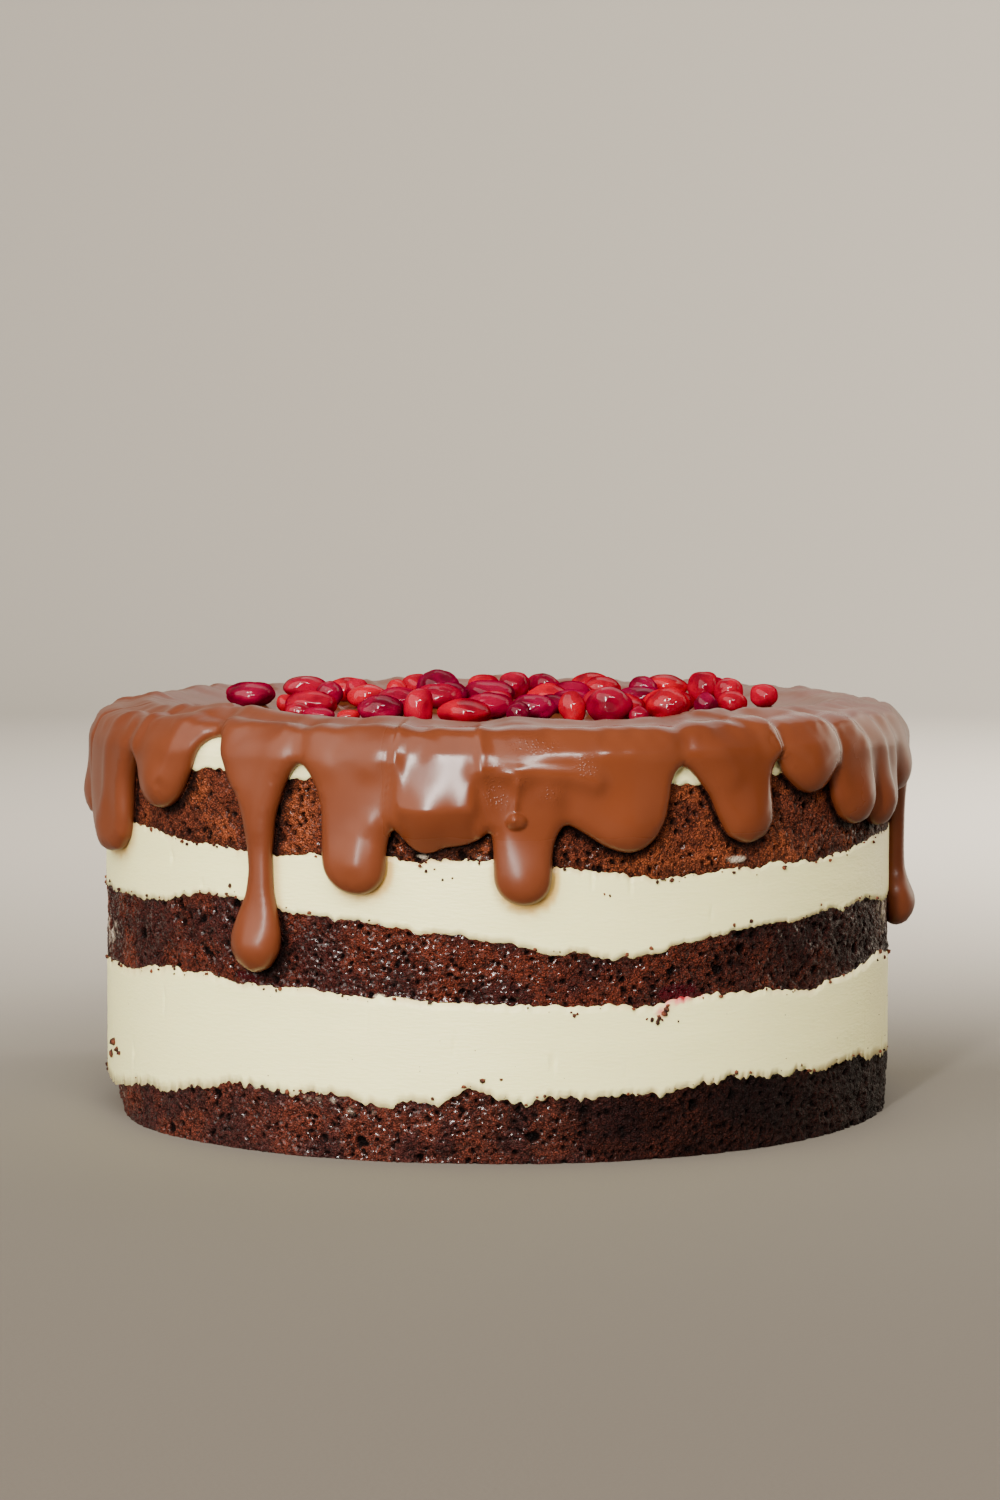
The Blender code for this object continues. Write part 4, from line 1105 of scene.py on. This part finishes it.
def berry_form(is_cluster, seed):
    """Rings of directions scaled by a radius: for a cluster, domes round evenly spread centres; for an oval,
    slight dents."""
    columns, rows = BERRY_COLUMNS[is_cluster], BERRY_ROWS[is_cluster]
    around = np.arange(columns) * 2 * math.pi / columns
    rise = np.linspace(-math.pi / 2, math.pi / 2, rows + 2)[1:-1, None]
    ways = np.stack([np.cos(rise) * np.cos(around), np.cos(rise) * np.sin(around),
                     np.broadcast_to(np.sin(rise), (rows, columns))], -1)
    dents = noise(ways * 1.4 + seed, seed)
    swell = 1 + 0.13 * dents
    if is_cluster:
        number = np.arange(DRUPELETS) + 0.5
        level = 1 - 2 * number / DRUPELETS
        spin = GOLDEN_ANGLE * number + seed
        flat = np.sqrt(1 - level ** 2)
        centres = np.stack([flat * np.cos(spin), flat * np.sin(spin), level], -1)
        centres += 0.09 * np.stack([jumble(centres, seed + axis) for axis in range(3)], -1)
        nearest = np.linalg.norm(ways[..., None, :] - centres, axis=-1).min(-1)
        dome = np.sqrt(np.clip(1 - (nearest / DRUPELET_REACH) ** 2, 0, 1))
        swell = 0.86 + 0.14 * dome + 0.06 * dents
    return ways * swell[..., None]


for number, name in enumerate(berry_names):
    low, high = berry_boxes[name]
    middle, half = (low + high) / 2, (high - low) / 2
    radii = np.linalg.norm((corners(frame["nodes"][name].data) - middle) / half, axis=1)
    is_cluster = bool(np.ptp(radii) > CLUSTER_SWELL)
    form = berry_form(is_cluster, number + 1)
    form *= half / np.abs(form).reshape(-1, 3).max(0)
    points, faces = closed_skin(form + middle)
    ripe = 0.5 + 0.5 * math.sin(number * RIPENESS_STEP)
    material, shade, principled = new_material(
        name, specular_ior_level=0.0, coat_roughness=0.05, subsurface_weight=0.12,
        subsurface_radius=BERRY_GLOW, subsurface_scale=1.0)
    bright = tuple(SCARLET + (WINE - SCARLET) * ripe)
    deep = tuple(DARK_SCARLET + (DARK_WINE - DARK_SCARLET) * ripe)
    wire(principled,
         base_color=shade.noise(140, 2).step(0.35, 0.7).blend(bright, deep),
         coat_weight=shade.attribute("wet") * (0.30 + 0.6 * shade.noise(300, 2)))
    facing = form / half ** 2
    wet = fade(facing @ LIT_SIDE / np.linalg.norm(facing, axis=-1), 0.50, 0.75)
    piece = add_mesh(name + "_fruit", points, faces, material, wet=skin_values(wet, (1, 0)))
    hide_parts(name)
    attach(piece, "root")


# Loose crumbs of the sponges, torn off by the scraper, cling to the creams along the seams, with a few specks
# further out. They are all one mesh.
CRUMB_COUNT = 460
CRUMB_SIZES = (0.12, 0.70)              # half sizes in mm
CRUMB_STRAY = 0.6                       # mm that they lie from the seam, on average
SPECK_COUNT = 60
SPECK_SIZES = (0.08, 0.16)
SPECK_BELT = (0.1, 0.9)                 # the share of the lower cream's height that the specks keep to
CRUMB_DARK = (0.030, 0.0070, 0.0040, 1)
CRUMB_PALE = (0.15, 0.038, 0.016, 1)
PLACED_CRUMBS = (                       # angle, height and half size in mm of those that the front shows
    (-10.2, 69.0, 0.6), (-9.4, 67.9, 0.45), (-8.3, 68.3, 0.4), (-7.2, 65.9, 0.35), (-5.9, 66.3, 0.3),
    (9.8, 35.2, 0.35), (14.2, 62.4, 0.4), (15.0, 61.9, 0.35), (-28, 52.8, 0.5), (-12.5, 50.4, 0.6),
    (-73, 18.0, 1.1), (-71, 16.6, 0.9), (-69.5, 16.0, 0.7), (-75, 14.5, 1.0), (-2.0, 19.6, 0.7),
    (0.5, 19.9, 0.5), (-4.4, 18.2, 0.6), (34, 18.8, 0.6), (23.2, 35.8, 0.55), (23.0, 34.9, 0.75),
    (22.7, 34.0, 0.95), (22.0, 33.2, 0.85), (21.7, 32.2, 0.9), (20.9, 32.7, 0.7), (22.4, 32.6, 0.55),
    (20.2, 33.0, 0.4), (24.8, 32.0, 0.35), (10.2, 34.5, 0.6), (10.6, 34.9, 0.4))


def crumbs(angles, heights, sizes, seed):
    """Twelve corners and twenty faces of an icosahedron for each crumb, each corner pulled in or out at
    random."""
    rng = np.random.default_rng(seed)
    long = (1 + math.sqrt(5)) / 2
    tips = np.array([(a, b, 0) for a in (-1, 1) for b in (-long, long)])
    tips = np.concatenate([np.roll(tips, shift, axis=1) for shift in range(3)]) / math.hypot(1, long)
    span = np.linalg.norm(tips[:, None] - tips, axis=-1)
    beside = (span > 0.1) & (span < 1.2)
    triples = np.array([(a, b, c) for a in range(12) for b in range(a + 1, 12) for c in range(b + 1, 12)
                        if beside[a, b] and beside[b, c] and beside[a, c]])
    a, b, c = (tips[triples[:, axis]] for axis in range(3))
    inside_out = np.sum(np.cross(b - a, c - a) * a, axis=1) < 0
    triples[inside_out] = triples[inside_out][:, ::-1]
    scale = sizes[:, None, None] * rng.uniform(0.6, 1.25, (len(sizes), 12, 1))
    scale = scale * rng.uniform(0.7, 1.2, (len(sizes), 1, 3))
    centres = on_cylinder(angles, CREAM_RADIUS + 0.3 * sizes, heights)
    points = (centres[:, None] + tips * scale).reshape(-1, 3)
    faces = (triples + 12 * np.arange(len(sizes))[:, None, None]).reshape(-1, 3)
    return points, faces.tolist()


rng = np.random.default_rng(17)
angles = rng.uniform(-180, 180, CRUMB_COUNT)
sizes = rng.uniform(*CRUMB_SIZES, CRUMB_COUNT) ** 1.5 / CRUMB_SIZES[1] ** 0.5
# Each seam, and the way from it into the cream
seams = [("base_top", 1), ("middle_foot", -1), ("middle_top", 1), ("top_foot", -1)]
heights = np.zeros(CRUMB_COUNT)
for number, (name, way) in enumerate(seams):
    mine = np.arange(CRUMB_COUNT) % len(seams) == number
    heights[mine] = SEAMS[name](angles[mine]) + way * rng.exponential(CRUMB_STRAY, mine.sum()) * MM
speck_angles = rng.uniform(-180, 180, SPECK_COUNT)
low, high = SEAMS["base_top"](speck_angles), SEAMS["middle_foot"](speck_angles)
placed = np.array(PLACED_CRUMBS).T
points, faces = crumbs(
    np.concatenate([angles, speck_angles, placed[0]]),
    np.concatenate([heights, low + (high - low) * rng.uniform(*SPECK_BELT, SPECK_COUNT), placed[1] * MM]),
    np.concatenate([sizes, rng.uniform(*SPECK_SIZES, SPECK_COUNT), placed[2]]) * MM, 23)
material, shade, principled = new_material("loose_crumbs", roughness=0.7, specular_ior_level=0.25)
wire(principled,
     base_color=shade.noise(400, 2).step(0.4, 0.6).blend(CRUMB_DARK, CRUMB_PALE),
     normal=shade.bump(shade.noise(2500, 3), 0.0006, 0.9))
piece = add_mesh("loose_crumbs", points, faces, material)
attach(piece, "root")
